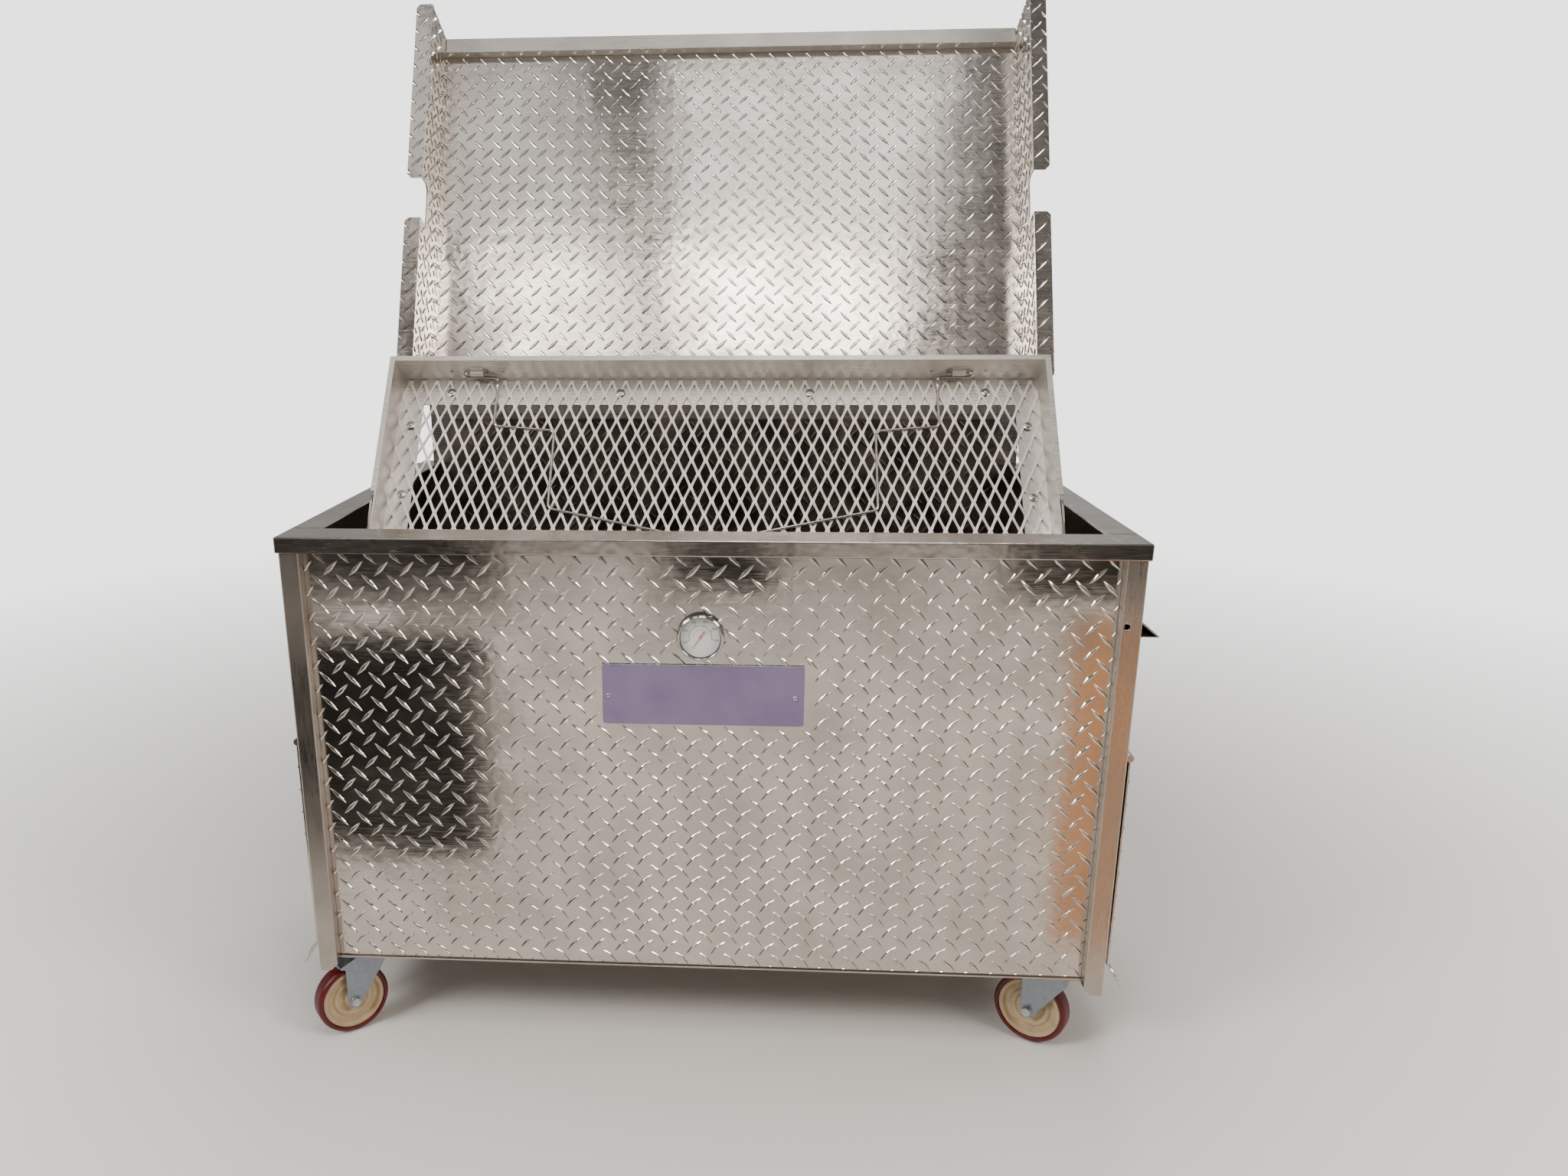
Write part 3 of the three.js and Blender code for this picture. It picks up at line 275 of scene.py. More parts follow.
def lug_mesh():
    """One lug lying along X: a long lens with a raised crown, its foot sunk a hair into the sheet."""
    bm = bmesh.new()
    ring = bmesh.ops.create_circle(bm, segments=8, radius=1, cap_ends=True)["verts"]
    for v in ring:
        if abs(v.co.x) > 0.1 and abs(v.co.y) > 0.1:
            v.co *= LUG["pinch"]
    bmesh.ops.scale(bm, vec=(LUG["half"], LUG["width"], 1), verts=ring)
    bmesh.ops.translate(bm, vec=(0, 0, -LUG["sunk"]), verts=ring)
    foot = bm.faces[:][0]
    face = foot
    for length, width, height in LUG["rises"]:
        top = bmesh.ops.extrude_face_region(bm, geom=[face])["geom"]
        verts = [g for g in top if isinstance(g, bmesh.types.BMVert)]
        bmesh.ops.scale(bm, vec=(length, width, 1), verts=verts)
        for v in verts:
            v.co.z = LUG["height"] * height
        if face is not foot:
            bmesh.ops.delete(bm, geom=[face], context="FACES_ONLY")
        face = next(g for g in top if isinstance(g, bmesh.types.BMFace))
    bmesh.ops.recalc_face_normals(bm, faces=bm.faces[:])
    mesh = bpy.data.meshes.new("lug")
    bm.to_mesh(mesh)
    bm.free()
    return mesh


lug = lug_mesh()


def stamp(bm, mesh, matrix):
    """A copy of a mesh set in a bmesh at a place."""
    copy = mesh.copy()
    copy.transform(matrix)
    bm.from_mesh(copy)
    bpy.data.meshes.remove(copy)


def set_in(bm, part, matrix):
    """One bmesh set in another at a place, and freed."""
    mesh = bpy.data.meshes.new("part")
    part.to_mesh(mesh)
    part.free()
    stamp(bm, mesh, matrix)
    bpy.data.meshes.remove(mesh)


def trimmed(bm, limits):
    """Cuts everything outside the limits away and closes the cuts."""
    for limit, normal in limits:
        cut = bmesh.ops.bisect_plane(bm, geom=bm.verts[:] + bm.edges[:] + bm.faces[:],
                                     plane_co=limit, plane_no=normal, clear_outer=True)
        edges = [g for g in cut["geom_cut"] if isinstance(g, bmesh.types.BMEdge)]
        bmesh.ops.edgenet_fill(bm, edges=edges)


def around(span_a, span_b):
    """The four limits of a flat area, each as a point and the way out of the area."""
    return (((span_a[0], 0, 0), (-1, 0, 0)), ((span_a[1], 0, 0), (1, 0, 0)),
            ((0, span_b[0], 0), (0, -1, 0)), ((0, span_b[1], 0), (0, 1, 0)))


def lugs(name, body, faces, place=BOX, material=lug_crown):
    """Lugs on flat faces.

    A face is its origin, two directions along it, its spans along them and its bare areas.
    """
    bm = bmesh.new()
    pitch = LUG["pitch"]
    reach = LUG["half"] * math.sqrt(0.5)
    for origin, along, across, span_a, span_b, bare in faces:
        part = bmesh.new()
        outward = Vector(along).cross(Vector(across))
        basis = Matrix((Vector(along), Vector(across), outward)).transposed().to_4x4()
        basis.translation = Vector(origin)
        columns = range(math.floor(span_a[0] / pitch) - 1, math.ceil(span_a[1] / pitch) + 1)
        rows = range(math.floor(span_b[0] / pitch) - 1, math.ceil(span_b[1] / pitch) + 1)
        for degrees, shift in ((45, 0.0), (135, 0.5)):
            turn = Matrix.Rotation(math.radians(degrees), 4, "Z")
            for a, b in [((i + shift) * pitch, (j + shift) * pitch) for i in columns for j in rows]:
                near_a = span_a[0] - reach < a < span_a[1] + reach
                near_b = span_b[0] - reach < b < span_b[1] + reach
                left_out = any(a0 < a < a1 and b0 < b < b1 for a0, a1, b0, b1 in bare)
                if near_a and near_b and not left_out:
                    stamp(part, lug, Matrix.Translation((a, b, 0)) @ turn)
        trimmed(part, around(span_a, span_b))
        set_in(bm, part, basis)
    return finish_piece(name, bm, material, body, place)


# Faces that carry lugs, in millimetres. Spans stop a hair inside each face's edges
X, Y, Z = (1, 0, 0), (0, 1, 0), (0, 0, 1)
BACK_X, BACK_Y = (-1, 0, 0), (0, -1, 0)
# A lug of the front panel's lattice, where the photograph shows the first one
LATTICE_X, LATTICE_Z = -583.5, 846.5
# What the nameplate keeps bare on the front panel
PLATE_WIDTH, PLATE_HEIGHT = (-168, 166), (590, 704)
BACK_FACE = 800
END_FACE, DOOR_FACE = 653, 673
# The doorway's width and height, and the heights above the hinge rails with and without the grab rail
DOORWAY = ((120, 680), (178, 532))
ABOVE_RAILS = {"left": ((572, 872),), "right": ((572, 740), (784, 872))}
# The flared lip of each door: its outer edge, its slope out and up, and its reach
FLARE_X, FLARE_Z, FLARE_OUT, FLARE_UP, FLARE_REACH = 699, 135, 0.5003, 0.8659, (2, 49)
# The lid's inside in its own frame: plate, walls and the faces of their lips
LID_INSIDE, LID_WALL, LIP_FACE, LID_MIDDLE = -4.3, 634, -125.7, -450
LINER_FACE, LINER_MIDDLE = 784.7, 560


def spans(span, origin):
    """A span counted from another origin."""
    return (span[0] - origin, span[1] - origin)


def facing(side, low, high):
    """A span along a face that looks right or left. The left one is counted the other way."""
    return (low, high) if side > 0 else (-high, -low)


lugs("front_panel_lugs", "box", [
    ((LATTICE_X, 0, LATTICE_Z), X, Z, spans((-624, 624), LATTICE_X), spans((167, 896), LATTICE_Z),
     [(*spans(PLATE_WIDTH, LATTICE_X), *spans(PLATE_HEIGHT, LATTICE_Z))]),
])
lugs("back_panel_lugs", "box", [
    ((0, BACK_FACE, 600), BACK_X, Z, (-624, 624), (-435, 395), []),
])
for side, end in ((-1, "left"), (1, "right")):
    run = Y if side > 0 else BACK_Y
    along = facing(side, 2, 798)
    doorway = (*facing(side, *DOORWAY[0]), *DOORWAY[1])
    lugs(f"{end}_end_lugs", "box", [
        ((END_FACE * side, 0, 0), run, Z, along, (162, 540), [doorway]),
    ] + [((END_FACE * side, 0, 0), run, Z, along, heights, []) for heights in ABOVE_RAILS[end]])
    door = facing(side, 17, 783)
    lugs(f"{end}_door_lugs", f"{end}_door", [
        ((DOOR_FACE * side, 0, 0), run, Z, door, (182, 538), []),
        ((FLARE_X * side, 0, FLARE_Z), run, (-FLARE_OUT * side, 0, FLARE_UP), door, FLARE_REACH, []),
    ])
# The lid's lugs are on its inside, and so on the faces of the lips that lie on the rims
lugs("lid_plate_lugs", "lid", [
    ((0, LID_MIDDLE, LID_INSIDE), BACK_X, Y, (-633, 633), (-350, 430), []),
], place=LID)
for side, end in ((-1, "left"), (1, "right")):
    run = BACK_Y if side > 0 else Y
    notch = (*facing(side, 348, 462), -126, -78)
    rail = (*facing(side, 790, 860), -36, 0)
    lip = facing(side, 635, 667)
    lugs(f"lid_{end}_wall_lugs", "lid", [
        ((LID_WALL * side, 0, 0), run, Z, facing(side, 7, 849), (-122, -5), [notch, rail]),
        ((0, 0, LIP_FACE), X, BACK_Y, lip, (9, 357), []),
        ((0, 0, LIP_FACE), X, BACK_Y, lip, (453, 847), []),
    ], place=LID)
# The liner is tread plate too, and its lugs are painted the same dark brown as shade inside the box
lugs("back_liner_lugs", "box", [
    ((0, LINER_FACE, LINER_MIDDLE), X, Z, (-582, 582), (-392, 430), []),
], material=painted_shade_liner)


# Expanded metal: almond gaps 25.4 mm apart across and 55 mm apart the long way
GRILL = {
    "short": 25.4, "long": 55.0, "half": 583.0, "u": (5.5, 670.5), "h": 2.9, "thick": 2.4, "twist": 1.2,
}
# A quarter of a gap's outline, from its side to its end
GAP = ((9.6, 0), (6.9, 7.2), (3.3, 15.2), (0, 22.0))
GAP_CORNERS = 12
# Points closer than this are one
TOUCH = 0.01


def grill_cell():
    """One cell: an almond gap in a diamond, its strands twisted as stretching leaves them."""
    g = GRILL
    bm = bmesh.new()
    inner = bmesh.ops.create_circle(bm, segments=GAP_CORNERS, radius=1)["verts"]
    outer = bmesh.ops.create_circle(bm, segments=GAP_CORNERS, radius=1)["verts"]
    for v in inner:
        x, y = v.co.x, v.co.y
        turn = math.atan2(abs(y), abs(x)) / (2 * math.pi)
        side, end = GAP[round(turn * GAP_CORNERS)]
        v.co = (math.copysign(side, x), math.copysign(end, y), y * g["twist"])
    for v in outer:
        reach = 1 / (abs(v.co.x) + abs(v.co.y))
        v.co = (v.co.x * reach * g["short"] / 2, v.co.y * reach * g["long"] / 2, 0)
    bmesh.ops.bridge_loops(bm, edges=bm.edges[:])
    bmesh.ops.recalc_face_normals(bm, faces=bm.faces[:])
    if sum(f.normal.z for f in bm.faces) < 0:
        bmesh.ops.reverse_faces(bm, faces=bm.faces[:])
    rims = [e for e in bm.edges if e.is_boundary and all(v in inner for v in e.verts)]
    wall = bmesh.ops.extrude_edge_only(bm, edges=rims)["geom"]
    drop = (0, 0, -g["thick"])
    bmesh.ops.translate(bm, vec=drop, verts=[w for w in wall if isinstance(w, bmesh.types.BMVert)])
    under = bmesh.ops.duplicate(bm, geom=[f for f in bm.faces if abs(f.normal.z) > 0.5])["geom"]
    flipped = [f for f in under if isinstance(f, bmesh.types.BMFace)]
    bmesh.ops.translate(bm, vec=drop, verts=[v for v in under if isinstance(v, bmesh.types.BMVert)])
    bmesh.ops.reverse_faces(bm, faces=flipped)
    bmesh.ops.remove_doubles(bm, verts=bm.verts, dist=TOUCH)
    mesh = bpy.data.meshes.new("cell")
    bm.to_mesh(mesh)
    bm.free()
    return mesh


def grill():
    """The whole net, cut to the tray. Cells lie in rows, each row half a cell along from the last."""
    g = GRILL
    cell = grill_cell()
    bm = bmesh.new()
    middle = sum(g["u"]) / 2
    columns = math.ceil(g["half"] / g["short"]) * 2
    rows = math.ceil((g["u"][1] - g["u"][0]) / g["long"])
    for i in range(-columns, columns + 1):
        for j in range(-rows, rows + 1):
            if (i + j) % 2 == 0:
                stamp(bm, cell, Matrix.Translation(
                    (i * g["short"] / 2, middle + j * g["long"] / 2, g["h"] + g["thick"])))
    bmesh.ops.remove_doubles(bm, verts=bm.verts, dist=TOUCH)
    for limit, normal in around((-g["half"], g["half"]), g["u"]):
        bmesh.ops.bisect_plane(bm, geom=bm.verts[:] + bm.edges[:] + bm.faces[:],
                               plane_co=limit, plane_no=normal, clear_outer=True)
    bmesh.ops.recalc_face_normals(bm, faces=bm.faces[:])
    piece = finish_piece("expanded_grill", bm, grill_metal, "tray", TRAY, smooth=40)
    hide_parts("tray_mesh")


grill()


def drawn(data):
    """A curve or a text as a bmesh in the units that it was drawn in."""
    holder = bpy.data.objects.new("drawn", data)
    bpy.context.scene.collection.objects.link(holder)
    bpy.context.view_layer.update()
    flat = bpy.data.meshes.new_from_object(holder.evaluated_get(bpy.context.evaluated_depsgraph_get()))
    bm = bmesh.new()
    bm.from_mesh(flat)
    bpy.data.objects.remove(holder)
    bpy.data.meshes.remove(flat)
    return bm


# A bend takes at most this share of the straight beside it
BEND_SHARE = 0.45


def bent(before, here, after, reach_before, reach_after, steps):
    """Points of the short arc that takes the place of a corner."""
    start = here + (before - here).normalized() * reach_before
    end = here + (after - here).normalized() * reach_after
    shares = [k / steps for k in range(steps + 1)]
    return [start * (1 - t) ** 2 + here * 2 * t * (1 - t) + end * t ** 2 for t in shares]


def wire(corners, radius, bend, steps=6):
    """Round wire through corners, each bent to a short arc."""
    corners = [Vector(corner) for corner in corners]
    points = [corners[0]]
    for before, here, after in zip(corners, corners[1:], corners[2:]):
        reach_before = min(bend, (before - here).length * BEND_SHARE)
        reach_after = min(bend, (after - here).length * BEND_SHARE)
        points += bent(before, here, after, reach_before, reach_after, steps)
    points.append(corners[-1])
    data = bpy.data.curves.new("wire", "CURVE")
    data.dimensions = "3D"
    data.bevel_depth = radius
    data.bevel_resolution = 3
    data.use_fill_caps = True
    spline = data.splines.new("POLY")
    spline.points.add(len(points) - 1)
    for held, point in zip(spline.points, points):
        held.co = (*point, 1)
    return drawn(data)


# The bail's wire in the tray's frame, from the hook on the rear wall to the middle of its front run
BAIL = [(418, 669, 31), (465, 669, 31), (465, 669, 19), (404, 669, 19), (404, 655, 8.6), (404, 571, 8.6),
        (291, 561, 8.6), (291, 402, 8.6), (0, 338, 8.6)]
BAIL_RADIUS, BAIL_BEND = 2.4, 11
other_half = [(-x, u, h) for x, u, h in BAIL[-2::-1]]
bail = finish_piece("round_bail", wire(BAIL + other_half, BAIL_RADIUS, BAIL_BEND), wire_metal,
                    "bail", TRAY, smooth=50)
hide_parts("wire_bail")


def dome_head(bm, centre, radius, height, outward):
    """A low domed rivet or screw head, sunk by half."""
    head = bmesh.new()
    bmesh.ops.create_uvsphere(head, u_segments=16, v_segments=8, radius=1)
    bmesh.ops.scale(head, vec=(radius, radius, height), verts=head.verts)
    turn = Vector(Z).rotation_difference(Vector(outward)).to_matrix().to_4x4()
    set_in(bm, head, Matrix.Translation(centre) @ turn)


# Rivets of the bail's eyes in the tray's rear wall: X to either side, u and h
EYE_RIVETS, EYE_RIVET_U, EYE_RIVET_H = (488, 421, 391), 673.4, 31
# Screws that hold the grill down: X to either side, and u. Each is a domed head on a washer
GRILL_SCREWS = ((174, 644), (490, 645), (560, 574), (560, 430), (560, 250), (560, 90), (330, 26), (120, 26))
SCREW_PARTS = ((6.1, 8.0, 0.9), (6.6, 4.0, 2.0))


def tray_fittings():
    """Rivets of the bail's eyes in the rear wall, and the screws and washers that hold the grill down."""
    bm = bmesh.new()
    for x in EYE_RIVETS:
        for side in (-1, 1):
            dome_head(bm, (x * side, EYE_RIVET_U, EYE_RIVET_H), 3.0, 1.4, BACK_Y)
    finish_piece("tray_wall_rivets", bm, hinge_steel, "tray", TRAY, smooth=50)
    bm = bmesh.new()
    for x, u in GRILL_SCREWS:
        for side in (-1, 1):
            for h, radius, height in SCREW_PARTS:
                dome_head(bm, (x * side, u, h), radius, height, Z)
    finish_piece("grill_screws", bm, wire_metal, "tray", TRAY, smooth=50)


tray_fittings()


# Each wheel's own frame: Z along its axle
UPRIGHT = Matrix.Rotation(math.radians(90), 4, "X")
WHEEL = {
    corner: Matrix.Translation(at(*STEM[corner], WHEEL_RADIUS)) @ Matrix.Rotation(math.radians(turn), 4, "Z")
    @ Matrix.Translation((-TRAIL * MM, 0, 0)) @ UPRIGHT @ Matrix.Scale(MM, 4)
    for corner, turn in HEADING.items()
}


def turned(profile, steps):
    """A closed profile of radius and height, spun about Z."""
    bm = bmesh.new()
    ring = [bm.verts.new((r, 0, h)) for r, h in profile]
    edges = [bm.edges.new((ring[i], ring[(i + 1) % len(ring)])) for i in range(len(ring))]
    bmesh.ops.spin(bm, geom=ring + edges, cent=(0, 0, 0), axis=Z, angle=2 * math.pi, steps=steps,
                   use_merge=True)
    bmesh.ops.remove_doubles(bm, verts=bm.verts, dist=0.001)
    bmesh.ops.recalc_face_normals(bm, faces=bm.faces[:])
    return bm


def rounded(points, radius, steps):
    """The same closed profile with its corners rounded."""
    points = [Vector(point) for point in points]
    result = []
    for i, here in enumerate(points):
        before, after = points[i - 1], points[(i + 1) % len(points)]
        reach = min(radius, (before - here).length * BEND_SHARE, (after - here).length * BEND_SHARE)
        result += [tuple(point) for point in bent(before, here, after, reach, reach, steps)]
    return result


# Wheel profiles: radius, and distance from the wheel's middle. The tread is crowned, the core has two hollows
tread_profile = rounded([(54.6, -15.8), (60.0, -15.8), (63.4, -11), (63.4, 11), (60.0, 15.8), (54.6, 15.8)],
                        3.0, 5)
side_profile = [(6.6, 18.4), (14.5, 18.4), (17, 7), (24, 5.5), (27, 9.5), (33, 9.5), (36, 5.5), (44, 5.5),
                (47.5, 13.5), (54.2, 13.5)]
core_profile = rounded(side_profile + [(r, -h) for r, h in reversed(side_profile)], 1.6, 3)
# Facets round a wheel or a bezel
ROUND = 96
for corner in CORNERS:
    tread = finish_piece(f"{corner}_polyurethane_tread", turned(tread_profile, ROUND), red_tread,
                         f"{corner}_wheel", WHEEL[corner], smooth=50)
    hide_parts(f"{corner}_wheel_tread")
    core = finish_piece(f"{corner}_wheel_core", turned(core_profile, ROUND), cream_core, f"{corner}_wheel",
                        WHEEL[corner], smooth=50)
    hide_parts(f"{corner}_wheel_hub")


# Axle bolt: half its length inside the washers, the shaft, and each end's washer and hexagon
# as facets, radius, start and thickness
AXLE_REACH, AXLE_RADIUS = 22.2, 6
AXLE_END = ((32, 9.0, AXLE_REACH, 1.2), (6, 8.4, AXLE_REACH + 1.2, 4.8))


def hex_bolt():
    """An axle bolt along Z: shaft, two washers, a hexagon head and a hexagon nut."""
    bm = bmesh.new()
    bmesh.ops.create_cone(bm, cap_ends=True, segments=24, radius1=AXLE_RADIUS, radius2=AXLE_RADIUS,
                          depth=2 * AXLE_REACH)
    for side in (-1, 1):
        for facets, radius, start, depth in AXLE_END:
            made = bmesh.ops.create_cone(bm, cap_ends=True, segments=facets, radius1=radius, radius2=radius,
                                         depth=depth)["verts"]
            bmesh.ops.translate(bm, vec=(0, 0, side * (start + depth / 2)), verts=made)
    edges = [e for e in bm.edges if len(e.link_faces) == 2 and e.calc_face_angle() > 0.7]
    bmesh.ops.bevel(bm, geom=edges, offset=0.5, segments=2, profile=0.5, affect="EDGES", material=-1)
    return bm


for corner in CORNERS:
    axle = finish_piece(f"{corner}_axle_bolt", hex_bolt(), bolt_zinc, f"{corner}_swivel",
                        WHEEL[corner])
    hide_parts(f"{corner}_caster_axle")


# Thermometer and nameplate, drawn in X and up, with Z towards the viewer
DIAL_X, DIAL_Z = -4.5, 744
FACE = BOX @ Matrix.Translation((DIAL_X, 0, DIAL_Z)) @ UPRIGHT
bezel_profile = [(4.6, 0.3), (36.0, 0.3), (36.8, 1.2), (37.1, 3.0), (37.1, 9.0), (36.9, 10.6), (36.4, 12.2),
                 (35.7, 13.6), (34.8, 14.6), (33.8, 15.0), (32.9, 14.8), (32.2, 14.0), (31.9, 12.6), (31.8,
                                                                                                      9.9),
                 (33.9, 9.9), (33.9, 2.3), (4.6, 2.3)]
bezel = finish_piece("thermometer_bezel", turned(bezel_profile, ROUND), chrome, "box", FACE,
                     smooth=40)
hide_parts("thermometer_housing")
# Black rings of painted shadow in the ink's black: one all round the foot of the bezel, and one inside its
# lip
foot_shadow_profile = [(36.4, 0.1), (37.2, 0.1), (37.2, 3.2), (36.4, 3.2)]
finish_piece("thermometer_foot_shadow", turned(foot_shadow_profile, ROUND), dial_ink, "box", FACE)
lip_shadow_profile = [(30.9, 9.8), (31.75, 9.8), (31.75, 12.9), (30.9, 10.6)]
finish_piece("thermometer_lip_shadow", turned(lip_shadow_profile, ROUND), dial_ink, "box", FACE)


def clock(radius, degrees):
    """A point on the dial, its angle taken clockwise from the top."""
    turn = math.radians(degrees)
    return Vector((radius * math.sin(turn), radius * math.cos(turn), 0))


def ribbon(bm, radius, width, start, end):
    """A thin printed arc."""
    ends = [bm.verts.new(clock(r, start)) for r in (radius - width / 2, radius + width / 2)]
    edge = bm.edges.new(ends)
    bmesh.ops.spin(bm, geom=ends + [edge], cent=(0, 0, 0), axis=(0, 0, -1), angle=math.radians(end - start),
                   steps=48)


def tick(bm, degrees, near, far, width):
    """A printed stroke that points away from the dial's middle."""
    made = bmesh.ops.create_grid(bm, x_segments=1, y_segments=1, size=0.5)["verts"]
    bmesh.ops.scale(bm, vec=(width, far - near, 1), verts=made)
    bmesh.ops.translate(bm, vec=(0, (near + far) / 2, 0), verts=made)
    bmesh.ops.rotate(bm, matrix=Matrix.Rotation(-math.radians(degrees), 3, "Z"), verts=made)


# The dial's two scales and its numbers, as radii in millimetres and angles clockwise from the top.
# The marks lie just in front of the card
SCALE, INNER_SCALE, NUMBERS = 17.7, 11.6, 25.6
NUMBER_PLACES = (250, 293, 335, 377, 419, 462)
NUMBER_SIZE = 5.2
MARKS_FRONT = 3.66


def dial_marks():
    """Two arcs with ticks and plain numbers, printed on the dial."""
    bm = bmesh.new()
    ribbon(bm, SCALE, 0.9, 248, 468)
    ribbon(bm, INNER_SCALE, 0.45, 252, 395)
    for degrees in NUMBER_PLACES:
        tick(bm, degrees, SCALE, 21.8, 0.9)
    for step in range(1, 25):
        tick(bm, NUMBER_PLACES[0] + step * 8.6, SCALE, 19.4, 0.4)
    for step in range(8):
        tick(bm, 254 + step * 20, 10.2, INNER_SCALE, 0.35)
    for number, degrees in enumerate(NUMBER_PLACES, 1):
        text = bpy.data.curves.new("number", "FONT")
        text.body = str(number * 100)
        text.size = NUMBER_SIZE
        text.offset = 0.06
        text.align_x = "CENTER"
        text.align_y = "CENTER"
        set_in(bm, drawn(text), Matrix.Translation(clock(NUMBERS, degrees)))
    for face in bm.faces:
        if face.normal.z < 0:
            face.normal_flip()
    return bm


finish_piece("dial_marks", dial_marks(), dial_ink, "box",
             FACE @ Matrix.Translation((0, 0, MARKS_FRONT)))

# The nameplate's rivets, and the middle and size of its turned top edge
PLATE_RIVETS, PLATE_RIVET_Z, PLATE_FRONT = (-150.5, 143.5), 645, -1.8
PLATE_EDGE, PLATE_EDGE_SIZE = (-1, -1.2, 697.4), (317, 1.9, 2.4)


def plate_fixings():
    """Two rivets, and the turned top edge of the plate that catches the light."""
    bm = bmesh.new()
    for x in PLATE_RIVETS:
        dome_head(bm, (x, PLATE_FRONT, PLATE_RIVET_Z), 4.4, 2.4, BACK_Y)
    edge = bmesh.ops.create_cube(bm, size=1)["verts"]
    bmesh.ops.scale(bm, vec=PLATE_EDGE_SIZE, verts=edge)
    bmesh.ops.translate(bm, vec=PLATE_EDGE, verts=edge)
    rims = [e for e in bm.edges if all(v in edge for v in e.verts)]
    bmesh.ops.bevel(bm, geom=rims, offset=0.5, segments=2, profile=0.5, affect="EDGES", material=-1)
    finish_piece("nameplate_fixings", bm, bolt_zinc, "box", smooth=40)


plate_fixings()

# Bolts of the door rails: their places along the end, and the middle of their heads
RAIL_BOLTS, RAIL_BOLT_X, RAIL_BOLT_Z = (32, 277, 523, 768), 667.2, 561


def rail_bolts():
    """Hexagon heads that hold the door rails to the ends."""
    for side, end in ((-1, "left"), (1, "right")):
        bm = bmesh.new()
        for y in RAIL_BOLTS:
            made = bmesh.ops.create_cone(bm, cap_ends=True, segments=6, radius1=5.6, radius2=5.2,
                                         depth=4)["verts"]
            bmesh.ops.rotate(bm, matrix=Matrix.Rotation(math.radians(90), 3, "Y"), verts=made)
            bmesh.ops.translate(bm, vec=(side * RAIL_BOLT_X, y, RAIL_BOLT_Z), verts=made)
        bmesh.ops.recalc_face_normals(bm, faces=bm.faces[:])
        finish_piece(f"{end}_door_rail_bolts", bm, hinge_steel, "box")


rail_bolts()


# The frame's own nodes take their materials
COATS = {
    tread_plate: ["front_panel", "back_panel", "left_end_panel", "right_end_panel", "lid_plate",
                  "lid_left_wall", "lid_right_wall", "left_door", "right_door"],
    rim_sheet: ["front_rim", "left_end_rim", "right_end_rim"],
    drawn_post: ["front_left_post", "front_right_post", "rear_left_post", "rear_right_post", "back_top_rail",
                 "end_grab_rail", "left_door_hinge_rail", "right_door_hinge_rail", "floor_panel"],
    pan_sheet: ["tray_pan", "lid_front_rail"],
    # The back liner takes the dark brown painted shade
    painted_shade_liner: ["back_liner"],
    hinge_steel: ["tray_left_strap", "tray_right_strap", "thermometer_stem", "left_tray_pivot",
                  "right_tray_pivot", "lid_hinge_body_leaf", "lid_hinge_pin", "lid_hinge_lid_leaf"],
    zinc: [f"{c}_caster_{part}" for c in CORNERS for part in ("plate", "fork")],
    dial_card: ["thermometer_dial"],
    glass: ["thermometer_glass"],
    needle_paint: ["thermometer_pointer"],
    plate_enamel: ["nameplate"],
}
for material, names in COATS.items():
    for name in names:
        nodes[name].data.materials.clear()
        nodes[name].data.materials.append(material)

# Edges left by folding, pressing and extruding, in millimetres
EDGES = {
    2.0: ["front_left_post", "front_right_post", "rear_left_post", "rear_right_post", "front_rim",
          "left_end_rim", "right_end_rim"],
    1.0: ["lid_left_wall", "lid_right_wall", "lid_front_rail", "tray_pan", "end_grab_rail", "left_door",
          "right_door", "back_top_rail", "tray_left_strap", "tray_right_strap"]
    + [f"{c}_caster_fork" for c in CORNERS],
    0.6: ["front_panel", "back_panel", "left_end_panel", "right_end_panel", "lid_plate", "floor_panel",
          "nameplate"]
    + [f"{c}_caster_plate" for c in CORNERS],
}
for width, names in EDGES.items():
    for name in names:
        seam = nodes[name].modifiers.new("seam", "WELD")
        seam.merge_threshold = TOUCH * MM
        edge = nodes[name].modifiers.new("edge", "BEVEL")
        edge.width = width * MM
        edge.segments = 3
        edge.limit_method = "ANGLE"
        edge.angle_limit = math.radians(35)


# Studio, in metres
BACKDROP = "f1f0ee"
BACKDROP_GLOW = 3.0
CARD = "1c1b1a"
SHELL_RADIUS, FLOOR_RADIUS = 9, 8.9
# The floor lies this far below the wheels, and its veil starts and ends this far from the box
FLOOR_DROP = 0.0005
VEIL_START, VEIL_END = 1.0, 3.9


def stage_piece(name, bm, material):
    """A piece of the studio, which belongs to no body."""
    mesh = bpy.data.meshes.new(name)
    bm.to_mesh(mesh)
    bm.free()
    mesh.materials.append(material)
    piece = bpy.data.objects.new(name, mesh)
    bpy.context.scene.collection.objects.link(piece)
    return piece


def floor():
    """A plain pale floor."""
    bm = bmesh.new()
    bmesh.ops.create_circle(bm, segments=64, radius=FLOOR_RADIUS, cap_ends=True)
    bmesh.ops.translate(bm, vec=(0, 0, -FLOOR_DROP), verts=bm.verts)
    material, _, bsdf = shader("pale_floor", roughness=0.8)
    bsdf.inputs["Base Color"].default_value = linear("e2e1df")
    stage_piece("floor", bm, material)


def camera_only(name, bm, material):
    """A piece of the backdrop that neither lights the box nor shows in its metal."""
    piece = stage_piece(name, bm, material)
    piece.visible_diffuse = False
    piece.visible_glossy = False
    piece.visible_transmission = False
    piece.visible_shadow = False


def glowing(name):
    """The backdrop's even pale glow."""
    material, tree, bsdf = shader(name, roughness=1.0, emission_strength=BACKDROP_GLOW)
    bsdf.inputs["Base Color"].default_value = linear("000000")
    bsdf.inputs["Emission Color"].default_value = linear(BACKDROP)
    return material, tree, bsdf


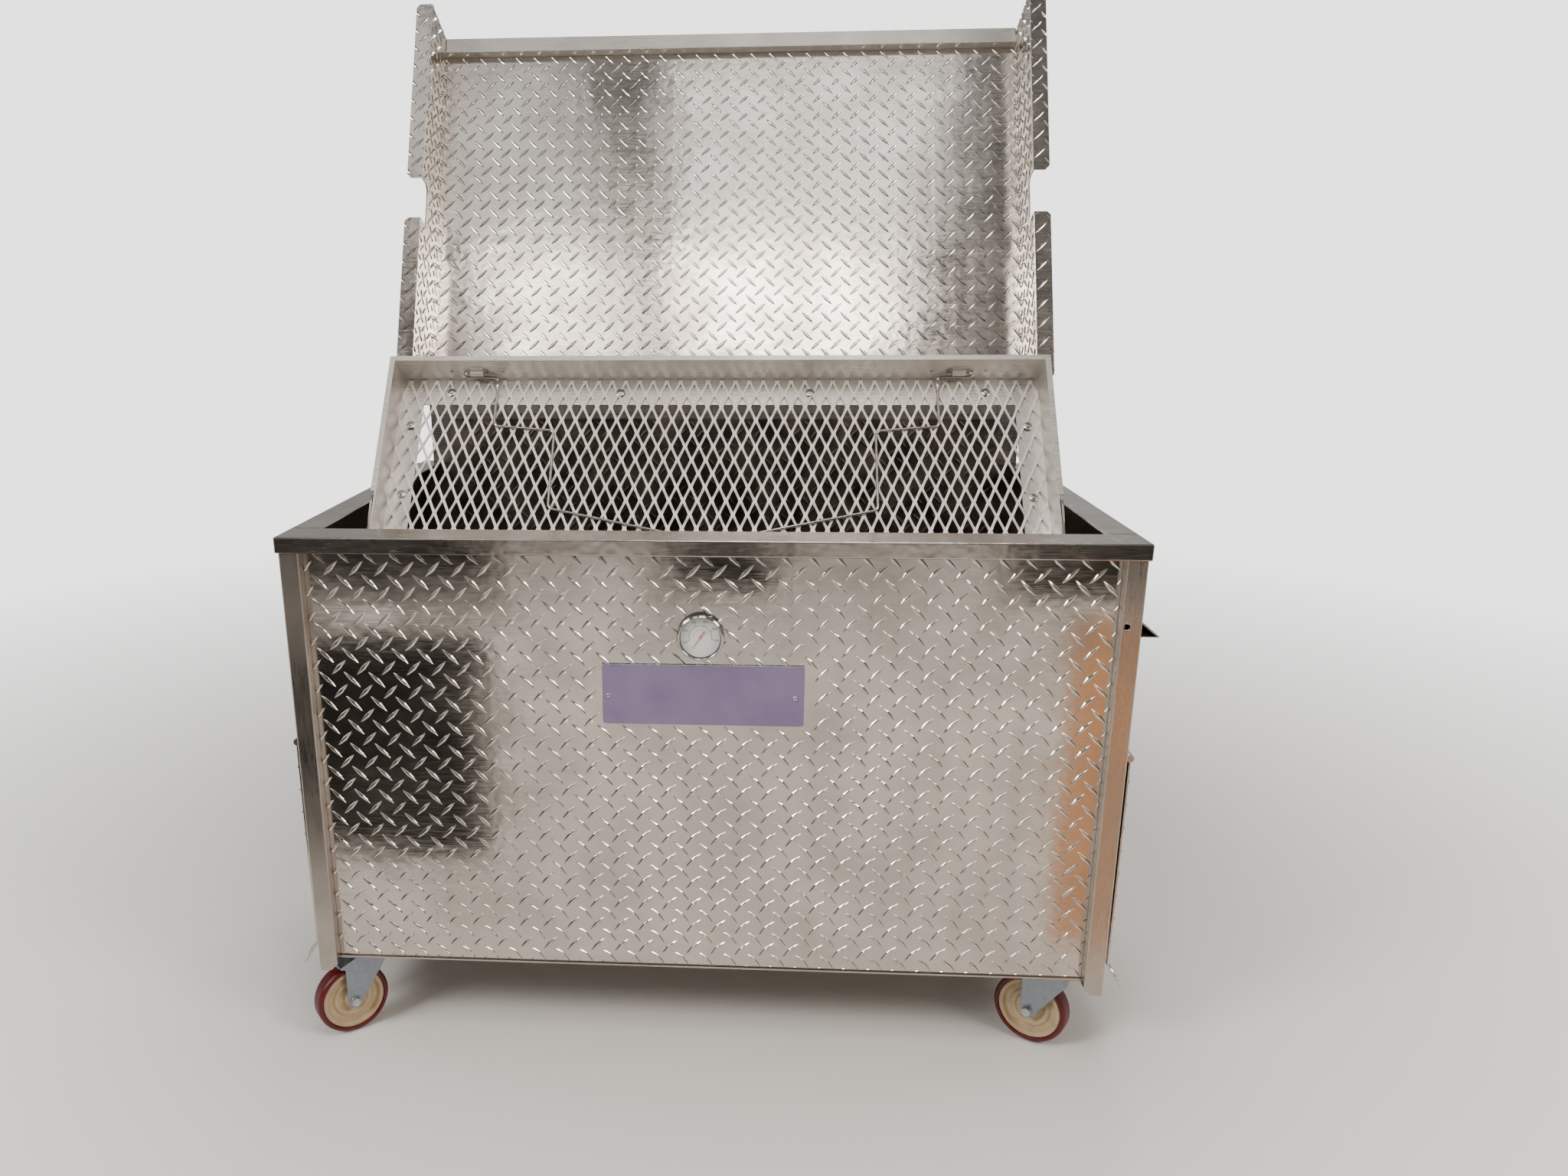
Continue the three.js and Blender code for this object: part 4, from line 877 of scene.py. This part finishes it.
def backdrop():
    """A pale shell round the floor, and a veil that thickens with distance, so that no edge shows."""
    bm = bmesh.new()
    bmesh.ops.create_uvsphere(bm, u_segments=48, v_segments=24, radius=SHELL_RADIUS)
    camera_only("backdrop", bm, glowing("pale_backdrop")[0])
    bm = bmesh.new()
    bmesh.ops.create_circle(bm, segments=64, radius=FLOOR_RADIUS, cap_ends=True)
    material, tree, bsdf = glowing("pale_veil")
    where = add(tree, "ShaderNodeTexCoord")
    away = add(tree, "ShaderNodeVectorMath", {0: where.outputs["Object"], 1: (0, 0.3, 0)},
               operation="DISTANCE")
    veil = spread(tree, away.outputs["Value"], 0, 1, VEIL_START, VEIL_END)
    tree.links.new(veil, bsdf.inputs["Alpha"])
    camera_only("floor_veil", bm, material)


def softbox(name, place, aim, width, height, power, tint="ffffff"):
    """A soft rectangular light that the camera doesn't see."""
    data = bpy.data.lights.new(name, "AREA")
    data.shape = "RECTANGLE"
    data.size, data.size_y = width, height
    data.energy = power
    data.color = linear(tint)[:3]
    lamp = bpy.data.objects.new(name, data)
    lamp.location = place
    lamp.rotation_mode = "QUATERNION"
    lamp.rotation_quaternion = (Vector(aim) - Vector(place)).to_track_quat("-Z", "Y")
    lamp.visible_camera = False
    bpy.context.scene.collection.objects.link(lamp)


def reflected(name, bm, colour, glow):
    """A card or screen that only reflections see, as a photographer stands one beside bright metal."""
    material, _, bsdf = shader(name, roughness=0.9, emission_strength=glow)
    bsdf.inputs["Base Color"].default_value = linear(CARD)
    bsdf.inputs["Emission Color"].default_value = linear(colour)
    piece = stage_piece(name, bm, material)
    piece.visible_camera = False
    piece.visible_diffuse = False
    piece.visible_shadow = False


def card(name, across, back, height, colour="000000", glow=0.0):
    """An upright card in front of the box."""
    bm = bmesh.new()
    bmesh.ops.create_grid(bm, x_segments=1, y_segments=1, size=0.5)
    bmesh.ops.rotate(bm, verts=bm.verts, matrix=Matrix.Rotation(math.radians(90), 3, "X"))
    bmesh.ops.scale(bm, verts=bm.verts, vec=(across[1] - across[0], 1, height[1] - height[0]))
    bmesh.ops.translate(bm, verts=bm.verts, vec=(sum(across) / 2, back, sum(height) / 2))
    reflected(name, bm, colour, glow)


def rear_screen():
    """A pale half-round screen behind and beside the box."""
    bm = bmesh.new()
    bmesh.ops.create_cone(bm, segments=64, radius1=7, radius2=7, depth=6)
    bmesh.ops.translate(bm, verts=bm.verts, vec=(0, 0, 3.2))
    bmesh.ops.bisect_plane(bm, geom=bm.verts[:] + bm.edges[:] + bm.faces[:], plane_co=(0, -1.2, 0),
                           plane_no=BACK_Y, clear_outer=True)
    reflected("rear_screen", bm, BACKDROP, 0.42)


floor()
backdrop()
rear_screen()
# Four boxes overhead, which the open lid reflects: two bright ones in front and two dim ones above.
# Each is its X and Y, its width and depth, its power and its tint
CEILING = 3.6
for name, x, y, width, depth, power, tint in (
        ("strip_left", -0.9, -1.85, 0.66, 0.7, 9.5, "fffaf2"),
        ("strip_right", 0.2, -1.85, 1.0, 0.7, 23, "fffaf2"),
        ("upper_left", -1.06, -0.95, 0.86, 0.9, 2.2, "ffffff"),
        ("upper_right", 0.28, -0.95, 1.1, 0.9, 6, "ffffff")):
    softbox(name, (x, y, CEILING), (x, y, 0), width, depth, power, tint)
# Key lights to both sides of the camera, which the lugs glint with, and one behind
softbox("left_key", (-3.4, -3.2, 3.4), (0, 0, 0.5), 1.5, 1.5, 170, "fffaf4")
softbox("right_key", (3.6, -2.8, 3.2), (0, 0, 0.5), 1.5, 1.5, 130, "fff3e6")
softbox("back_key", (0.4, 3.6, 3.6), (0, 0, 0.9), 2.4, 1.4, 120)
# Dark cards that the front panel reflects: span across, place and heights. The warm one stands nearer
CARDS_BACK, WARM_BACK = -1.24, -0.95
card("left_low_card", (-1.4, -0.50), CARDS_BACK, (0.0, 0.55))
card("left_high_card", (-1.4, -0.46), CARDS_BACK, (0.61, 0.80))
card("middle_card", (-0.12, 0.13), CARDS_BACK, (0.63, 0.78))
card("right_card", (0.60, 1.1), CARDS_BACK, (0.63, 0.82))
card("warm_card", (0.665, 0.85), WARM_BACK, (0.0, 0.67), "e6aa7a", 0.9)
world = bpy.data.worlds.new("studio")
bpy.context.scene.world = world
world.use_nodes = True
world.node_tree.nodes["Background"].inputs["Color"].default_value = linear("f4f2ef")
world.node_tree.nodes["Background"].inputs["Strength"].default_value = 0.13

# Camera, solved from the photograph's posts, rims, lid corners and wheels
camera_data = bpy.data.cameras.new("camera")
camera_data.lens = 27.246
camera_data.sensor_width = 36
camera_data.shift_x = 0.0693
camera_data.shift_y = 0.0303
camera = bpy.data.objects.new("camera", camera_data)
YAW, PITCH, ROLL = math.radians(-3.98), math.radians(16.38), math.radians(-0.35)
forward = Vector((math.sin(YAW) * math.cos(PITCH), math.cos(YAW) * math.cos(PITCH), -math.sin(PITCH)))
right = Vector((math.cos(YAW), -math.sin(YAW), 0))
up = right.cross(forward)
right_rolled = right * math.cos(ROLL) + up * math.sin(ROLL)
up_rolled = -right * math.sin(ROLL) + up * math.cos(ROLL)
camera.matrix_world = Matrix((right_rolled, up_rolled, -forward)).transposed().to_4x4()
camera.location = (0.079, -2.3288, 1.265)
bpy.context.scene.collection.objects.link(camera)
bpy.context.scene.camera = camera
